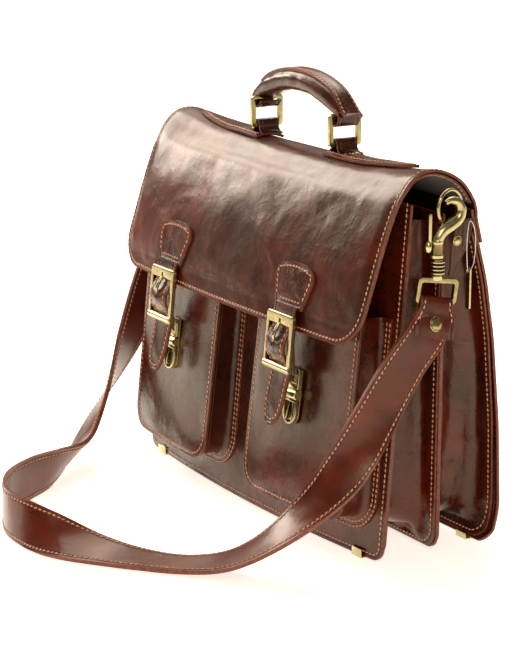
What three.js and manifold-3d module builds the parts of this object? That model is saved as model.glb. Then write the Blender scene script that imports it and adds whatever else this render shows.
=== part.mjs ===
// Leather flap-over briefcase: two compartments, two front pockets, a drop-ring handle,
// buckled closure straps over clip locks, and a shoulder strap on snap hooks.
// Millimetres, +Z up, -Y is the front. The origin is the middle of the base, on the ground.
import * as THREE from "three";
import { mergeVertices } from "three/addons/utils/BufferGeometryUtils.js";
import Module from "manifold-3d";

const wasm = await Module();
wasm.setup();

// Driving dimensions
const halfWidth = 200; // of the three main panels
const leather = 2.4; // thickness of an outer panel
const softLeather = 1.6; // gussets
const gap = 0.4; // between pieces that lie face to face
const baseForward = 20; // the drawing's y = 0 lies this far behind the middle of the base
const dividerY = 2.5;
const frontTop = 300;
const backTop = 291;
const dividerTop = 290;
const panelFoot = 1.8; // panels stand on their brass edge clips
const cornerRadius = 12;
const frontSlope = 23 / 302;
const hingeY = 34; // where the flap bends off the back panel
const hingeZ = 296;
const pocketHalf = 73;
const pocketMiddle = 107;
const pocketFoot = 32;
const pocketTop = 205;
const closureX = 102;
const wire = 4; // brass bar of the handle rings
const ringHalf = 14; // handle ring, half its length along Y
const ringX = 64;
const handleY = -6;
const lowerBarZ = 329;
const upperBarZ = 353;
const strapWidth = 38;
const strapThickness = 3.6;
const sideRingX = 208;

// Colours
const brown = { color: 0x4a1c12, roughness: 0.32, metalness: 0 };
const suede = { color: 0x7a5138, roughness: 0.9, metalness: 0 };
const brass = { color: 0xc8b069, roughness: 0.3, metalness: 0.9 };
const steel = { color: 0xb8b8b2, roughness: 0.3, metalness: 0.9 };

const bag = new THREE.Group();
bag.position.y = baseForward;

function addPart(name, geometry, finish) {
  const mesh = new THREE.Mesh(geometry, new THREE.MeshStandardMaterial(finish));
  mesh.name = name;
  bag.add(mesh);
  return mesh;
}

const clamp = (t) => Math.min(1, Math.max(0, t));
const lerp = THREE.MathUtils.lerp;
const ease = (t) => THREE.MathUtils.smoothstep(t, 0, 1);

function positionsOnly(geometry) {
  geometry.deleteAttribute("normal");
  geometry.deleteAttribute("uv");
  return mergeVertices(geometry, 1e-4);
}

// A sheet of leather: at(u, v) is a point of its reference surface, whose normal is
// du x dv, and the sheet lies from inner to outer along that normal.
function sheet(across, along, inner, outer, at) {
  const geometry = new THREE.BoxGeometry(1, 1, 1, across, along, 1);
  const place = geometry.attributes.position;
  const step = 1e-4;
  for (let i = 0; i < place.count; i++) {
    const u = place.getX(i) + 0.5;
    const v = place.getY(i) + 0.5;
    const du = at(clamp(u + step), v).sub(at(clamp(u - step), v));
    const dv = at(u, clamp(v + step)).sub(at(u, clamp(v - step)));
    const normal = du.cross(dv).normalize();
    const point = at(u, v).addScaledVector(normal, place.getZ(i) > 0 ? outer : inner);
    place.setXYZ(i, point.x, point.y, point.z);
  }
  return positionsOnly(geometry);
}

// A solid bar along v, with at(angle, v, radius) giving each point of its section.
function loft(around, along, at) {
  const geometry = new THREE.CylinderGeometry(1, 1, 1, around, along);
  const place = geometry.attributes.position;
  for (let i = 0; i < place.count; i++) {
    const x = place.getX(i);
    const z = place.getZ(i);
    const point = at(Math.atan2(x, z), place.getY(i) + 0.5, Math.hypot(x, z));
    place.setXYZ(i, point.x, point.y, point.z);
  }
  return positionsOnly(geometry);
}

function toSolid(geometry) {
  const clean = geometry.index ? positionsOnly(geometry) : positionsOnly(geometry.clone());
  const merged = mergeVertices(clean, 1e-3);
  return new wasm.Manifold(
    new wasm.Mesh({
      numProp: 3,
      vertProperties: merged.attributes.position.array,
      triVerts: new Uint32Array(merged.index.array),
    }),
  );
}

function fromSolid(solid) {
  const mesh = solid.getMesh();
  return new THREE.BufferGeometry()
    .setAttribute("position", new THREE.BufferAttribute(mesh.vertProperties, 3))
    .setIndex(new THREE.BufferAttribute(mesh.triVerts, 1));
}

const join = (...pieces) =>
  fromSolid(pieces.map(toSolid).reduce((whole, piece) => whole.add(piece)));
const cut = (piece, ...tools) =>
  fromSolid(tools.map(toSolid).reduce((whole, tool) => whole.subtract(tool), toSolid(piece)));

const box = (x0, x1, y0, y1, z0, z1) =>
  new THREE.BoxGeometry(x1 - x0, y1 - y0, z1 - z0).translate(
    (x0 + x1) / 2, (y0 + y1) / 2, (z0 + z1) / 2);

function cylinder(radius, length, axis, x, y, z, sides = 20) {
  const geometry = new THREE.CylinderGeometry(radius, radius, length, sides);
  if (axis === "x") geometry.rotateZ(Math.PI / 2);
  if (axis === "z") geometry.rotateX(Math.PI / 2);
  return geometry.translate(x, y, z);
}

// Slab of an outline in the XZ plane, from yFront back to yFront + depth.
function slabXZ(shape, yFront, depth, segments = 6) {
  const geometry = new THREE.ExtrudeGeometry(shape, {
    depth, bevelEnabled: false, curveSegments: segments,
  });
  return geometry.rotateX(Math.PI / 2).translate(0, yFront + depth, 0);
}

function roundedRect(x0, x1, z0, z1, radius) {
  const shape = new THREE.Shape();
  shape.moveTo(x0 + radius, z0);
  shape.lineTo(x1 - radius, z0);
  shape.absarc(x1 - radius, z0 + radius, radius, -Math.PI / 2, 0);
  shape.lineTo(x1, z1 - radius);
  shape.absarc(x1 - radius, z1 - radius, radius, 0, Math.PI / 2);
  shape.lineTo(x0 + radius, z1);
  shape.absarc(x0 + radius, z1 - radius, radius, Math.PI / 2, Math.PI);
  shape.lineTo(x0, z0 + radius);
  shape.absarc(x0 + radius, z0 + radius, radius, Math.PI, Math.PI * 1.5);
  return shape;
}

// Rows of a sheet with rounded corners at its start: t in 0..1 to a length along it,
// with the first rows closer, on equal angles of the corner.
function cornerRows(radius, length, share) {
  return (t) =>
    t < share
      ? radius * (1 - Math.cos((Math.PI / 2) * (t / share)))
      : radius + (length - radius) * ((t - share) / (1 - share));
}
const cornerInset = (radius, s) =>
  s >= radius ? 0 : radius - Math.sqrt(Math.max(0, radius * radius - (radius - s) ** 2));

// Panels

const bowAt = (x) => 1 - (x / halfWidth) ** 2;
const frontY = (x, z) => -53 + frontSlope * z - (12 - 0.02 * z) * bowAt(x);

const backProfile = new THREE.CatmullRomCurve3(
  [[49.5, panelFoot], [58.5, 12], [64, 31], [62, 106], [55.5, 182], [47.5, 230], [37.5, 266], [31, backTop]].map(
    ([y, z]) => new THREE.Vector3(0, y, z)));
function backY(x, z) {
  const points = backProfile.points;
  let i = 0;
  while (i < points.length - 2 && z > points[i + 1].z) i++;
  const share = clamp((z - points[i].z) / (points[i + 1].z - points[i].z));
  return lerp(points[i].y, points[i + 1].y, share) + 3 * bowAt(x) * Math.sin(Math.PI * clamp(z / 300));
}

// A main panel: side is -1 for one whose outer face looks forward, 1 for one that looks back.
function mainPanel(name, side, y, top, foot = panelFoot) {
  const rows = cornerRows(cornerRadius, top - foot, 0.25);
  addPart(name, sheet(8, 12, -leather, 0, (u, v) => {
    const s = rows(v);
    const spread = side > 0 ? 5 * clamp(1 - s / 200) : 0;
    const x = -side * (2 * u - 1) * (halfWidth + spread - cornerInset(cornerRadius, s));
    return new THREE.Vector3(x, y(x, foot + s), foot + s);
  }), brown);
}
mainPanel("front_panel", -1, frontY, frontTop);
mainPanel("back_panel", 1, backY, backTop);
mainPanel("divider_panel", -1, () => dividerY - leather / 2, dividerTop, 4);

// A U round three sides of a panel, from one upper end to the other: side, corner, bottom.
function uPath(half, foot, top, radius) {
  return (t) => {
    const side = t < 0.5 ? 1 : -1;
    const w = 1 - Math.abs(2 * t - 1);
    const out = new THREE.Vector3();
    if (w < 0.46) out.set(half, 0, lerp(top, foot + radius, w / 0.46));
    else if (w < 0.66) {
      const angle = (Math.PI / 2) * ((w - 0.46) / 0.2);
      out.set(half - radius + radius * Math.cos(angle), 0, foot + radius - radius * Math.sin(angle));
    } else out.set(lerp(half - radius, 0, (w - 0.66) / 0.34), 0, foot);
    out.x *= side;
    return out;
  };
}

// A gusset is sewn between two panels and folds inwards between them.
function gusset(name, yStart, yEnd, foldSide, foldFoot, top) {
  const outer = uPath(halfWidth - 1, 6, top, cornerRadius);
  const inner = uPath(halfWidth - 1 - foldSide, 6 + foldFoot, top, 26);
  addPart(name, sheet(28, 6, -softLeather / 2, softLeather / 2, (u, v) => {
    const point = outer(u).lerp(inner(u), Math.sin(Math.PI * v) ** 0.8);
    const room = 1.6;
    const blend = ease(clamp((v - 0.16) / 0.68));
    point.y = lerp(yStart(point.x, point.z) + room, yEnd(point.x, point.z) - room, blend);
    return point;
  }), brown);
}
gusset("front_gusset", (x, z) => frontY(x, z) + leather, () => dividerY - leather / 2, 26, 13, 282);
gusset("rear_gusset", () => dividerY + leather / 2, (x, z) => backY(x, z) - leather - 1.4, 26, 13, 272);

// Pockets

const pocketDepth = 28; // how far the pocket fronts stand off the bag at their foot
const pocketY = (x, t, z) =>
  frontY(x, z) - pocketDepth + 4 * ((z - pocketFoot) / 173) - 1.5 * (1 - t * t);

function pocket(side, label) {
  const middle = side * pocketMiddle;
  const rows = cornerRows(22, pocketTop - pocketFoot, 0.36);
  addPart(label + "_pocket_front", sheet(6, 11, -leather, 0, (u, v) => {
    const s = rows(v);
    const t = (2 * u - 1) * (1 - cornerInset(22, s) / pocketHalf);
    const x = middle + t * pocketHalf;
    return new THREE.Vector3(x, pocketY(x, t, pocketFoot + s), pocketFoot + s);
  }), brown);

  // Wall between the pocket front and the bag, with a flange turned out onto the bag.
  const path = uPath(pocketHalf - 1.2, pocketFoot + 1.2, pocketTop, 21);
  const flange = uPath(pocketHalf + 6, pocketFoot - 6, pocketTop, 28);
  addPart(label + "_pocket_gusset", sheet(24, 6, -softLeather / 2, softLeather / 2, (u, v) => {
    const turn = ease(clamp((v - 0.5) / 0.5));
    const point = path(u).lerp(flange(u), turn);
    const t = clamp(Math.abs(point.x) / pocketHalf);
    const reach = ease(clamp(v / 0.72));
    point.x += middle;
    const start = pocketY(point.x, t, point.z) + leather + 0.9;
    point.y = lerp(start, frontY(point.x, point.z) - 1.5, reach);
    return point;
  }), brown);
}
pocket(-1, "left");
pocket(1, "right");

// Flap: from its front edge up over the top, and down to the bend at the back panel.

const flapProfile = new THREE.CatmullRomCurve3(
  [
    [-82, 186], [-75.5, 211], [-68, 235], [-60, 260], [-52, 283], [-44, 302], [-36, 314.5],
    [-28, 322.5], [-17, 327], [-4, 327], [9, 322.5], [20, 315.5], [28, 306.5], [hingeY, hingeZ + 1],
  ].map(([y, z]) => new THREE.Vector3(0, y, z)));
const flapLength = flapProfile.getLength();
const crownSag = 8; // the top dips between its ends
const flapBow = (x, s) => 7 * bowAt(x) * clamp(1 - s / 150) ** 0.7;
function flapPoint(x, s) {
  const point = flapProfile.getPointAt(clamp(s / flapLength));
  const sag = crownSag * (1 - (x / halfWidth) ** 4) * ease(clamp((point.z - hingeZ) / 22));
  return new THREE.Vector3(x, point.y - flapBow(x, s), point.z - sag);
}
function flapLayer(name, inner, outer, margin, finish) {
  const radius = 32 - margin;
  const rows = cornerRows(radius, flapLength - margin, 0.2);
  addPart(name, sheet(8, 24, inner, outer, (u, v) => {
    const s = rows(v);
    const half = halfWidth - margin - cornerInset(radius, s);
    return flapPoint((2 * u - 1) * half, margin + s);
  }), finish);
}
flapLayer("flap_outer", -2.2, 0, 0, brown);
flapLayer("flap_lining", -4.6, -3.4, 1.5, suede);

// The stretch of the same leather that is stitched down on the back panel.
addPart("flap_back_seam", sheet(8, 3, 0, leather, (u, v) => {
  const z = lerp(262, hingeZ - 1.5, v);
  const x = (1 - 2 * u) * (halfWidth - 1);
  return new THREE.Vector3(x, backY(x, z) + gap + 0.2 + 2.2 * clamp((z - 284) / 12), z);
}), brown);

// Sheets that lie on the flap: around is along the flap's own profile.
function onFlap(name, across, along, lift, thickness, at, finish = brown) {
  return addPart(name, sheet(across, along, lift, lift + thickness, (u, v) => {
    const { x, s } = at(u, v);
    return flapPoint(x, s);
  }), finish);
}
const lengthAtZ = (z) => {
  let s = 0;
  while (flapProfile.getPointAt(s / flapLength).z < z) s += 0.5;
  return s;
};

// Closures: a shield stitched on the flap, a buckle, its prong, the strap that passes
// through it, and the fork that goes to the clip lock on the pocket.

const forkTop = 152;
const lockFoot = 102.5;
function closure(side, label) {
  const middle = side * closureX;
  const foot = lengthAtZ(202);
  const head = lengthAtZ(238);
  onFlap(label + "_shield", 6, 8, gap, 2.4, (u, v) => {
    const neck = 17;
    const wide = 27.5;
    const half =
      v < 0.55 ? lerp(neck, wide, ease(v / 0.55)) : wide * Math.sqrt(1 - (0.9 * (v - 0.55) / 0.45) ** 2);
    return { x: middle + (2 * u - 1) * half, s: lerp(foot, head, v) };
  });

  // Frame, seen from the front; its top bar carries the prong.
  const outline = roundedRect(-20, 20, 150, 199, 3);
  outline.holes.push(roundedRect(-15.5, 15.5, 157, 189, 2));
  const frame = slabXZ(outline, -2.5, 5);
  addPart(label + "_buckle", frame.translate(0, 0, -199).rotateX(-0.1)
    .translate(middle, -90.2, 199), brass);

  addPart(label + "_buckle_prong", box(-1.4, 1.4, -1.2, 1.2, -13, 0)
    .rotateX(-0.2).translate(middle, -93.4, 187.5), brass);

  // Strap: its tip hangs in front of the pocket.
  const strapHalf = 14;
  const hang = new THREE.CatmullRomCurve3([[-104, 104], [-98, 125], [-91.8, 152], [-91, 170], [-88.4, 184.5]].map(
    ([y, z]) => new THREE.Vector3(0, y, z)));
  addPart(label + "_closure_strap", sheet(4, 14, -2.4, 0, (u, v) => {
    const { y, z } = hang.getPointAt(v);
    const tipZ = 104;
    const tipLength = 16;
    const tip = z < tipZ + tipLength ? Math.sqrt(1 - 0.98 * ((tipZ + tipLength - z) / tipLength) ** 2) : 1;
    return new THREE.Vector3(middle + (2 * u - 1) * strapHalf * tip, y, z);
  }), brown);

  // Narrow tongue behind the strap, and the brass fork on its end.
  addPart(label + "_lock_tongue", sheet(2, 8, -1.8, 0, (u, v) => new THREE.Vector3(
    middle + side * 3 + (2 * u - 1) * 5, lerp(-83.4, -85.4, v), lerp(forkTop - 6, 184, v))), brown);

  // The clip lock lies on the pocket front and leans back with it.
  const onPocket = (geometry) =>
    geometry.translate(0, 0, -lockFoot).rotateX(-0.112).translate(middle + side * 3, -81.6, lockFoot);
  addPart(label + "_lock_fork", onPocket(join(
    box(-9, -5.6, -4.2, -1.6, 133.5, 150.5),
    box(5.6, 9, -4.2, -1.6, 133.5, 150.5),
    box(-9, 9, -4.2, -1.6, 133.5, 138.5))), brass);

  // Backplate with a raised rim and collar.
  const round = 9.5;
  const roundZ = lockFoot + round;
  const plateShape = new THREE.Shape();
  plateShape.moveTo(-round, 150);
  plateShape.lineTo(-round, roundZ);
  plateShape.absarc(0, roundZ, round, Math.PI, 2 * Math.PI);
  plateShape.lineTo(round, 150);
  const collar = cylinder(4, 17, "x", 0, -3.4, 128.5, 16);
  const rimShape = new THREE.Shape();
  rimShape.moveTo(-round, 124);
  rimShape.lineTo(-round, roundZ);
  rimShape.absarc(0, roundZ, round, Math.PI, 2 * Math.PI);
  rimShape.lineTo(round, 124);
  rimShape.lineTo(7, 124);
  rimShape.lineTo(7, roundZ);
  rimShape.absarc(0, roundZ, 7, 0, Math.PI, true);
  rimShape.lineTo(-7, 124);
  addPart(label + "_lock_plate", onPocket(join(
    slabXZ(plateShape, -1.2, 1.2), collar, slabXZ(rimShape, -6, 5.4))), brass);

  // Lever pressed to free the fork; it pivots under the collar.
  const leverShape = new THREE.Shape();
  leverShape.moveTo(-5.5, 123.5);
  leverShape.lineTo(-3.5, 108);
  leverShape.lineTo(3.5, 108);
  leverShape.lineTo(5.5, 123.5);
  addPart(label + "_lock_lever", onPocket(join(
    slabXZ(leverShape, -5.6, 1.8), box(-0.9, 0.9, -7.2, -5, 109, 123))), brass);
}
closure(-1, "left");
closure(1, "right");

// Handle: two pointed patches on the flap, a loop of leather and a ring on each, the grip.

const crown = lengthAtZ(326.9) + 10;
function handleMount(side, label) {
  onFlap(label + "_handle_patch", 8, 6, 1, 2.4, (u, v) => {
    const reach = side > 0 ? u : 1 - u;
    const half = 14 * Math.min(1, Math.sqrt(Math.max(0.01, (1 - reach) / 0.6)));
    const x = side * lerp(ringX - 9, 176, reach);
    return { x, s: crown + (2 * v - 1) * half };
  });
  // Loop: the patch's raised end, folded over the lower bar.
  const saddle = new THREE.Shape();
  saddle.moveTo(-8.5, -5.5);
  saddle.lineTo(8.5, -5.5);
  saddle.lineTo(5.2, 1);
  saddle.absarc(0, 0.6, 5.2, 0.1, Math.PI - 0.1);
  saddle.lineTo(-8.5, -5.5);
  const loop = new THREE.ExtrudeGeometry(saddle, { depth: 20, bevelEnabled: false, curveSegments: 8 })
    .translate(0, 0, -10).rotateX(Math.PI / 2);
  addPart(label + "_handle_loop", cut(loop, cylinder(3.3, 40, "y", 0, 0, 0, 16))
    .translate(side * ringX, handleY, lowerBarZ), brown);
  // Ring: a rectangle of square bar in the YZ plane.
  const height = upperBarZ - lowerBarZ;
  const half = wire / 2;
  const outline = roundedRect(-ringHalf - half, ringHalf + half, -half, height + half, 3);
  outline.holes.push(roundedRect(-ringHalf + half, ringHalf - half, half, height - half, 1));
  const ring = new THREE.ExtrudeGeometry(outline, { depth: wire, bevelEnabled: false, curveSegments: 3 })
    .translate(0, 0, -half).rotateX(Math.PI / 2).rotateZ(Math.PI / 2);
  addPart(label + "_handle_ring", ring.translate(side * ringX, handleY, lowerBarZ), brass);
  addPart(label + "_patch_rivet", cylinder(3.6, 1.4, "z", side * (ringX + 18), handleY, 0, 16)
    .translate(0, 0, flapPoint(side * (ringX + 18), crown + 2).z + 4.4), brass);
}
handleMount(-1, "left");
handleMount(1, "right");

const gripEnd = ringX + 7;
const gripRise = 21;
const grip = loft(12, 18, (angle, v, radius) => {
  const lean = 2 * v - 1;
  const rise = gripRise * (1 - Math.abs(lean) ** 2.2);
  const slope = (-gripRise * 2.2 * Math.sign(lean) * Math.abs(lean) ** 1.2) / gripEnd;
  const pad = ease(clamp((1 - Math.abs(lean)) / 0.35));
  const halfDepth = lerp(10.5, 12.5, pad);
  const halfHeight = lerp(6.4, 10.3, pad);
  const c = Math.cos(angle);
  const s = Math.sin(angle);
  const up = new THREE.Vector2(-slope, 1).normalize();
  const across = radius * halfDepth * Math.sign(s) * Math.abs(s) ** 0.8;
  const high = radius * halfHeight * Math.sign(c) * Math.abs(c) ** 0.8;
  return new THREE.Vector3(
    lean * gripEnd + up.x * high, handleY - across, upperBarZ + 1 + rise + up.y * high);
});
addPart("handle_grip", cut(grip,
  cylinder(3.4, 60, "y", -ringX, handleY, upperBarZ, 16),
  cylinder(3.4, 60, "y", ringX, handleY, upperBarZ, 16)), brown);

// Side fittings: a leather tab riveted on each end holds a round ring.

function torus(radius, tube, sections, sides) {
  return positionsOnly(new THREE.TorusGeometry(radius, tube, sides, sections));
}
const sideRingTilt = 0.5;
function sideMount(side, label) {
  addPart(label + "_side_tab", sheet(3, 6, -1.3, 1.3, (u, v) => {
    const half = lerp(7, 3, ease(v));
    const y = lerp(19, 8, v) + side * (2 * u - 1) * half;
    return new THREE.Vector3(side * 203.2, y, lerp(283, 240, v));
  }), brown);
  addPart(label + "_tab_rivet",
    cylinder(4, 1.4, "x", side * 205.8, 12, 268, 16), brass);
  addPart(label + "_side_ring", torus(14.2, 1.6, 24, 6)
    .rotateY(Math.PI / 2).rotateZ(0.25 * side).translate(side * sideRingX, 2, 297), brass);
}
sideMount(-1, "left");
sideMount(1, "right");

// Snap hook: hooked through the side ring, with a sprung bolt and a swivel bow below.
function snapHook(side, label) {
  const x = side * 214;
  const hookCurve = new THREE.CatmullRomCurve3([
    [0, -14, 264], [0, -14, 273], [0, -9, 281], [0, 2, 286], [0, 7, 294], [0, 3, 301.5], [0, -5, 302.5],
  ].map(([a, b, c]) => new THREE.Vector3(x + a, b, c)));
  const section = new THREE.Shape();
  section.absarc(0, 0, 2.6, 0, 2 * Math.PI);
  const crook = new THREE.ExtrudeGeometry(section, {
    steps: 14, bevelEnabled: false, extrudePath: hookCurve, curveSegments: 5,
  });
  addPart(label + "_hook_body", join(crook, cylinder(5, 19, "z", x, -14, 266.8, 16)), brass);
  addPart(label + "_hook_bolt", join(
    cylinder(1.4, 27, "z", x, -20.9, 281.5, 8),
    cylinder(2.6, 9, "z", x, -22, 268, 12)), brass);
  addPart(label + "_hook_collar", join(
    cylinder(5.5, 3, "z", x, -13, 255, 16),
    cylinder(4.4, 10, "z", x, -13, 250.5, 16),
    cylinder(5.5, 3, "z", x, -13, 246.5, 16)), brass);
  const bow = roundedRect(-20, 20, -21, 0, 4);
  bow.holes.push(roundedRect(-16.5, 16.5, -17.5, -3.8, 2));
  const frame = new THREE.ExtrudeGeometry(bow, { depth: 3.4, bevelEnabled: false, curveSegments: 3 })
    .translate(0, 0, -1.7).rotateX(Math.PI / 2).rotateZ(Math.PI / 2);
  addPart(label + "_hook_bow", frame.rotateX(-0.15).translate(x, -12, 241.4), brass);
}
snapHook(-1, "left");
snapHook(1, "right");

// Shoulder strap: centre line, and the direction of its width, from hook to hook.
const strapRoute = [
  [[218, -18, 208], [0, 0.95, -0.3]],
  [[219, -25, 200], [0, 0.9, -0.42]],
  [[221, -35, 190], [0, 0.82, -0.55]],
  [[222, -49, 175], [0.05, 0.75, -0.65]],
  [[221, -63, 154], [0.15, 0.7, -0.68]],
  [[220, -77, 132], [0.25, 0.65, -0.7]],
  [[216, -95, 101], [0.5, 0.35, -0.6]],
  [[207, -117, 71], [0.75, -0.1, -0.5]],
  [[187, -147, 38], [0.75, -0.5, -0.3]],
  [[160, -172, 15], [0.75, -0.6, -0.1]],
  [[128, -196, 5], [0.76, -0.65, 0]],
  [[98, -222, 4.5], [0.76, -0.65, -0.05]],
  [[70, -246, 8], [0.72, -0.65, -0.25]],
  [[42, -268, 14], [0.5, -0.6, -0.6]],
  [[8, -282, 19], [0.15, -0.3, -0.95]],
  [[-34, -283, 20], [0, -0.05, -1]],
  [[-76, -262, 20], [0, 0, -1]],
  [[-104, -228, 20], [0, 0, -1]],
  [[-124, -194, 19], [-0.2, -0.2, -0.9]],
  [[-148, -165, 18], [-0.5, -0.4, -0.8]],
  [[-172, -143, 22], [-0.7, -0.3, -0.6]],
  [[-191, -122, 36], [-0.75, -0.1, -0.5]],
  [[-202, -102, 57], [-0.7, 0.15, -0.5]],
  [[-208, -84, 82], [-0.55, 0.4, -0.6]],
  [[-212, -67, 112], [-0.3, 0.6, -0.7]],
  [[-216, -51, 145], [-0.15, 0.7, -0.68]],
  [[-219, -34, 180], [-0.05, 0.8, -0.6]],
  [[-219, -25, 199], [0, 0.9, -0.42]],
  [[-218, -18, 208], [0, 0.95, -0.3]],
].map(([centre, width]) => ({
  centre: new THREE.Vector3(...centre),
  width: new THREE.Vector3(...width).normalize(),
}));
const strapCentre = new THREE.CatmullRomCurve3(strapRoute.map((stop) => stop.centre));
const strapTurn = new THREE.CatmullRomCurve3(strapRoute.map((stop) => stop.width));
addPart("shoulder_strap", sheet(2, 66, -strapThickness / 2, strapThickness / 2, (u, v) => {
  const tangent = strapCentre.getTangent(v);
  const width = strapTurn.getPoint(v);
  width.addScaledVector(tangent, -width.dot(tangent)).normalize();
  const point = strapCentre.getPoint(v).addScaledVector(width, (u - 0.5) * strapWidth);
  return point;
}), brown);
for (const [side, label] of [[-1, "left"], [1, "right"]]) {
  addPart(label + "_strap_rivet", cylinder(4.6, 1.4, "x", side * 222.4, -20, 205, 16), brass);
}

// Brass clips over the lower edges of the front and back panels.
function edgeClip(name, x, yInner, inside, height) {
  const wall = 1.2;
  const section = new THREE.Shape();
  section.moveTo(-wall, 0);
  section.lineTo(inside + wall, 0);
  section.lineTo(inside + wall, height);
  section.lineTo(inside, height);
  section.lineTo(inside, wall);
  section.lineTo(0, wall);
  section.lineTo(0, height);
  section.lineTo(-wall, height);
  const clip = new THREE.ExtrudeGeometry(section, { depth: 14, bevelEnabled: false });
  addPart(name, clip.rotateX(Math.PI / 2).rotateZ(Math.PI / 2).translate(x - 7, yInner, 0), brass);
}
edgeClip("front_left_edge_clip", -169, frontY(169, 0) - 0.7, 8.6, 8);
edgeClip("front_right_edge_clip", 170, frontY(170, 0) - 0.7, 8.6, 8);
edgeClip("rear_left_edge_clip", -175, backY(175, 0) - 3.2, 7.4, 5.6);
edgeClip("rear_right_edge_clip", 175, backY(175, 0) - 3.2, 7.4, 5.6);

// A small flat key hangs on a loop of wire at the right end.
addPart("key_wire", torus(21, 1.2, 24, 6).scale(1, 0.3, 1).rotateY(Math.PI / 2)
  .translate(208.4, 22, 263), steel);
const keyShape = roundedRect(-3, 3, 211, 245.5, 1.5);
const eye = new THREE.Path();
eye.absarc(0, 242, 2, 0, 2 * Math.PI);
keyShape.holes.push(eye);
addPart("key", slabXZ(keyShape, 21.2, 1.6).translate(208.4, 0, 0), brass);

export default bag;
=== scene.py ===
# Leather flap-over briefcase: stitched panels, two pockets, buckled closures over clip locks,
# a ring-hung handle and a shoulder strap on snap hooks.
import math
from contextlib import contextmanager
import bpy
from mathutils import Matrix, Vector, noise


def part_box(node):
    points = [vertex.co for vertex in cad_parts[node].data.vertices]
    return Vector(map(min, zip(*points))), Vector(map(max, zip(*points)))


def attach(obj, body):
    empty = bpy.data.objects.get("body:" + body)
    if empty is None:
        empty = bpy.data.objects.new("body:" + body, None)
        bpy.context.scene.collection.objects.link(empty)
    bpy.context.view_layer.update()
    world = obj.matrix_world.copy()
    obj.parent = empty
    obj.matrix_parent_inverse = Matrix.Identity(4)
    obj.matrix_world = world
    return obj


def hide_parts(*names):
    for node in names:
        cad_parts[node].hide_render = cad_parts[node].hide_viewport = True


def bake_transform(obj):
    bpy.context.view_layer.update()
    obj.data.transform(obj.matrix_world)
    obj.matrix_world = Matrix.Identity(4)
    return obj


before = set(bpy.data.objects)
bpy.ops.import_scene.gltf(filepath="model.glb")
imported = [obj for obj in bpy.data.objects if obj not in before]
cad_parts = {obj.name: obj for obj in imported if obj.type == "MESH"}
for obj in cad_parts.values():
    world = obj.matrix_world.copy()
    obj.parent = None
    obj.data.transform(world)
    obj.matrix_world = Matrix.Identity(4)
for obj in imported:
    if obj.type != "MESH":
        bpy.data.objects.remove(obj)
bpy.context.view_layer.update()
baseForward = 20  # mm, the drawing's y = 0 lies this far behind the middle of the base
sides = (("left", -1), ("right", 1))


# Camera, floor and light

camera = {"at": (1.6683, -1.032, 0.6408), "turn": 1.03015, "lean": 0.24138, "roll": 0.00334,
          "lens": 125.84}


def placeCamera():
    turn, lean, roll = camera["turn"], camera["lean"], camera["roll"]
    back = Vector((math.sin(turn) * math.cos(lean), -math.cos(turn) * math.cos(lean),
                   math.sin(lean)))
    right = (-back).cross(Vector((0, 0, 1))).normalized()
    up = back.cross(right)
    right = right * math.cos(roll) + up * math.sin(roll)
    up = back.cross(right)
    bpy.ops.object.camera_add(location=camera["at"])
    eye = bpy.context.object
    eye.matrix_world = Matrix.Translation(camera["at"]) @ Matrix((right, up,
                                                                  back)).transposed().to_4x4()
    eye.data.lens = camera["lens"]
    eye.data.sensor_width = 36
    bpy.context.scene.camera = eye


placeCamera()


def deselectAll():
    if bpy.context.object and bpy.context.object.mode != "OBJECT":
        bpy.ops.object.mode_set(mode="OBJECT")
    bpy.ops.object.select_all(action="DESELECT")


def pick(piece):
    deselectAll()
    piece.select_set(True)
    bpy.context.view_layer.objects.active = piece


def addPiece(name, data):
    piece = bpy.data.objects.new(name, data)
    bpy.context.scene.collection.objects.link(piece)
    pick(piece)
    return piece


@contextmanager
def editing():
    # edit mode on the active piece, with all of its mesh selected
    bpy.ops.object.mode_set(mode="EDIT")
    bpy.ops.mesh.select_all(action="SELECT")
    yield
    bpy.ops.object.mode_set(mode="OBJECT")


def hexColour(text):
    channels = [int(text[i:i + 2], 16) / 255 for i in (1, 3, 5)]
    return tuple(c / 12.92 if c <= 0.04045 else ((c + 0.055) / 1.055) ** 2.4
                 for c in channels) + (1.0,)


def addNode(tree, kind, settings=None, links=None):
    node = tree.nodes.new(kind)
    for name, value in (settings or {}).items():
        if isinstance(name, str) and hasattr(node, name):
            setattr(node, name, value)
        else:
            node.inputs[name].default_value = value
    for name, source in (links or {}).items():
        tree.links.new(source, node.inputs[name])
    return node


def newMaterial(name):
    material = bpy.data.materials.new(name)
    material.use_nodes = True
    tree = material.node_tree
    tree.nodes.clear()
    place = addNode(tree, "ShaderNodeTexCoord").outputs["Object"]
    return material, tree, place


def finishMaterial(tree, settings, links):
    shader = addNode(tree, "ShaderNodeBsdfPrincipled", settings, links)
    addNode(tree, "ShaderNodeOutputMaterial", links={"Surface": shader.outputs[0]})


def ramp(tree, source, stops):
    node = addNode(tree, "ShaderNodeValToRGB", links={"Fac": source})
    band = node.color_ramp
    while len(band.elements) < len(stops):
        band.elements.new(0.5)
    for element, (at, colour) in zip(band.elements, stops):
        element.position = at
        element.color = hexColour(colour)
    return node.outputs["Color"]


def noiseNode(tree, place, millimetres, detail=3, roughness=0.5, warp=0.0):
    return addNode(tree, "ShaderNodeTexNoise", {
        "Scale": 1000 / millimetres, "Detail": detail, "Roughness": roughness, "Distortion": warp,
    }, {"Vector": place}).outputs["Fac"]


def bump(tree, height, millimetres, strength, below=None):
    links = {"Height": height}
    if below:
        links["Normal"] = below
    return addNode(tree, "ShaderNodeBump", {
        "Strength": strength, "Distance": millimetres / 1000}, links).outputs["Normal"]


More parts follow.
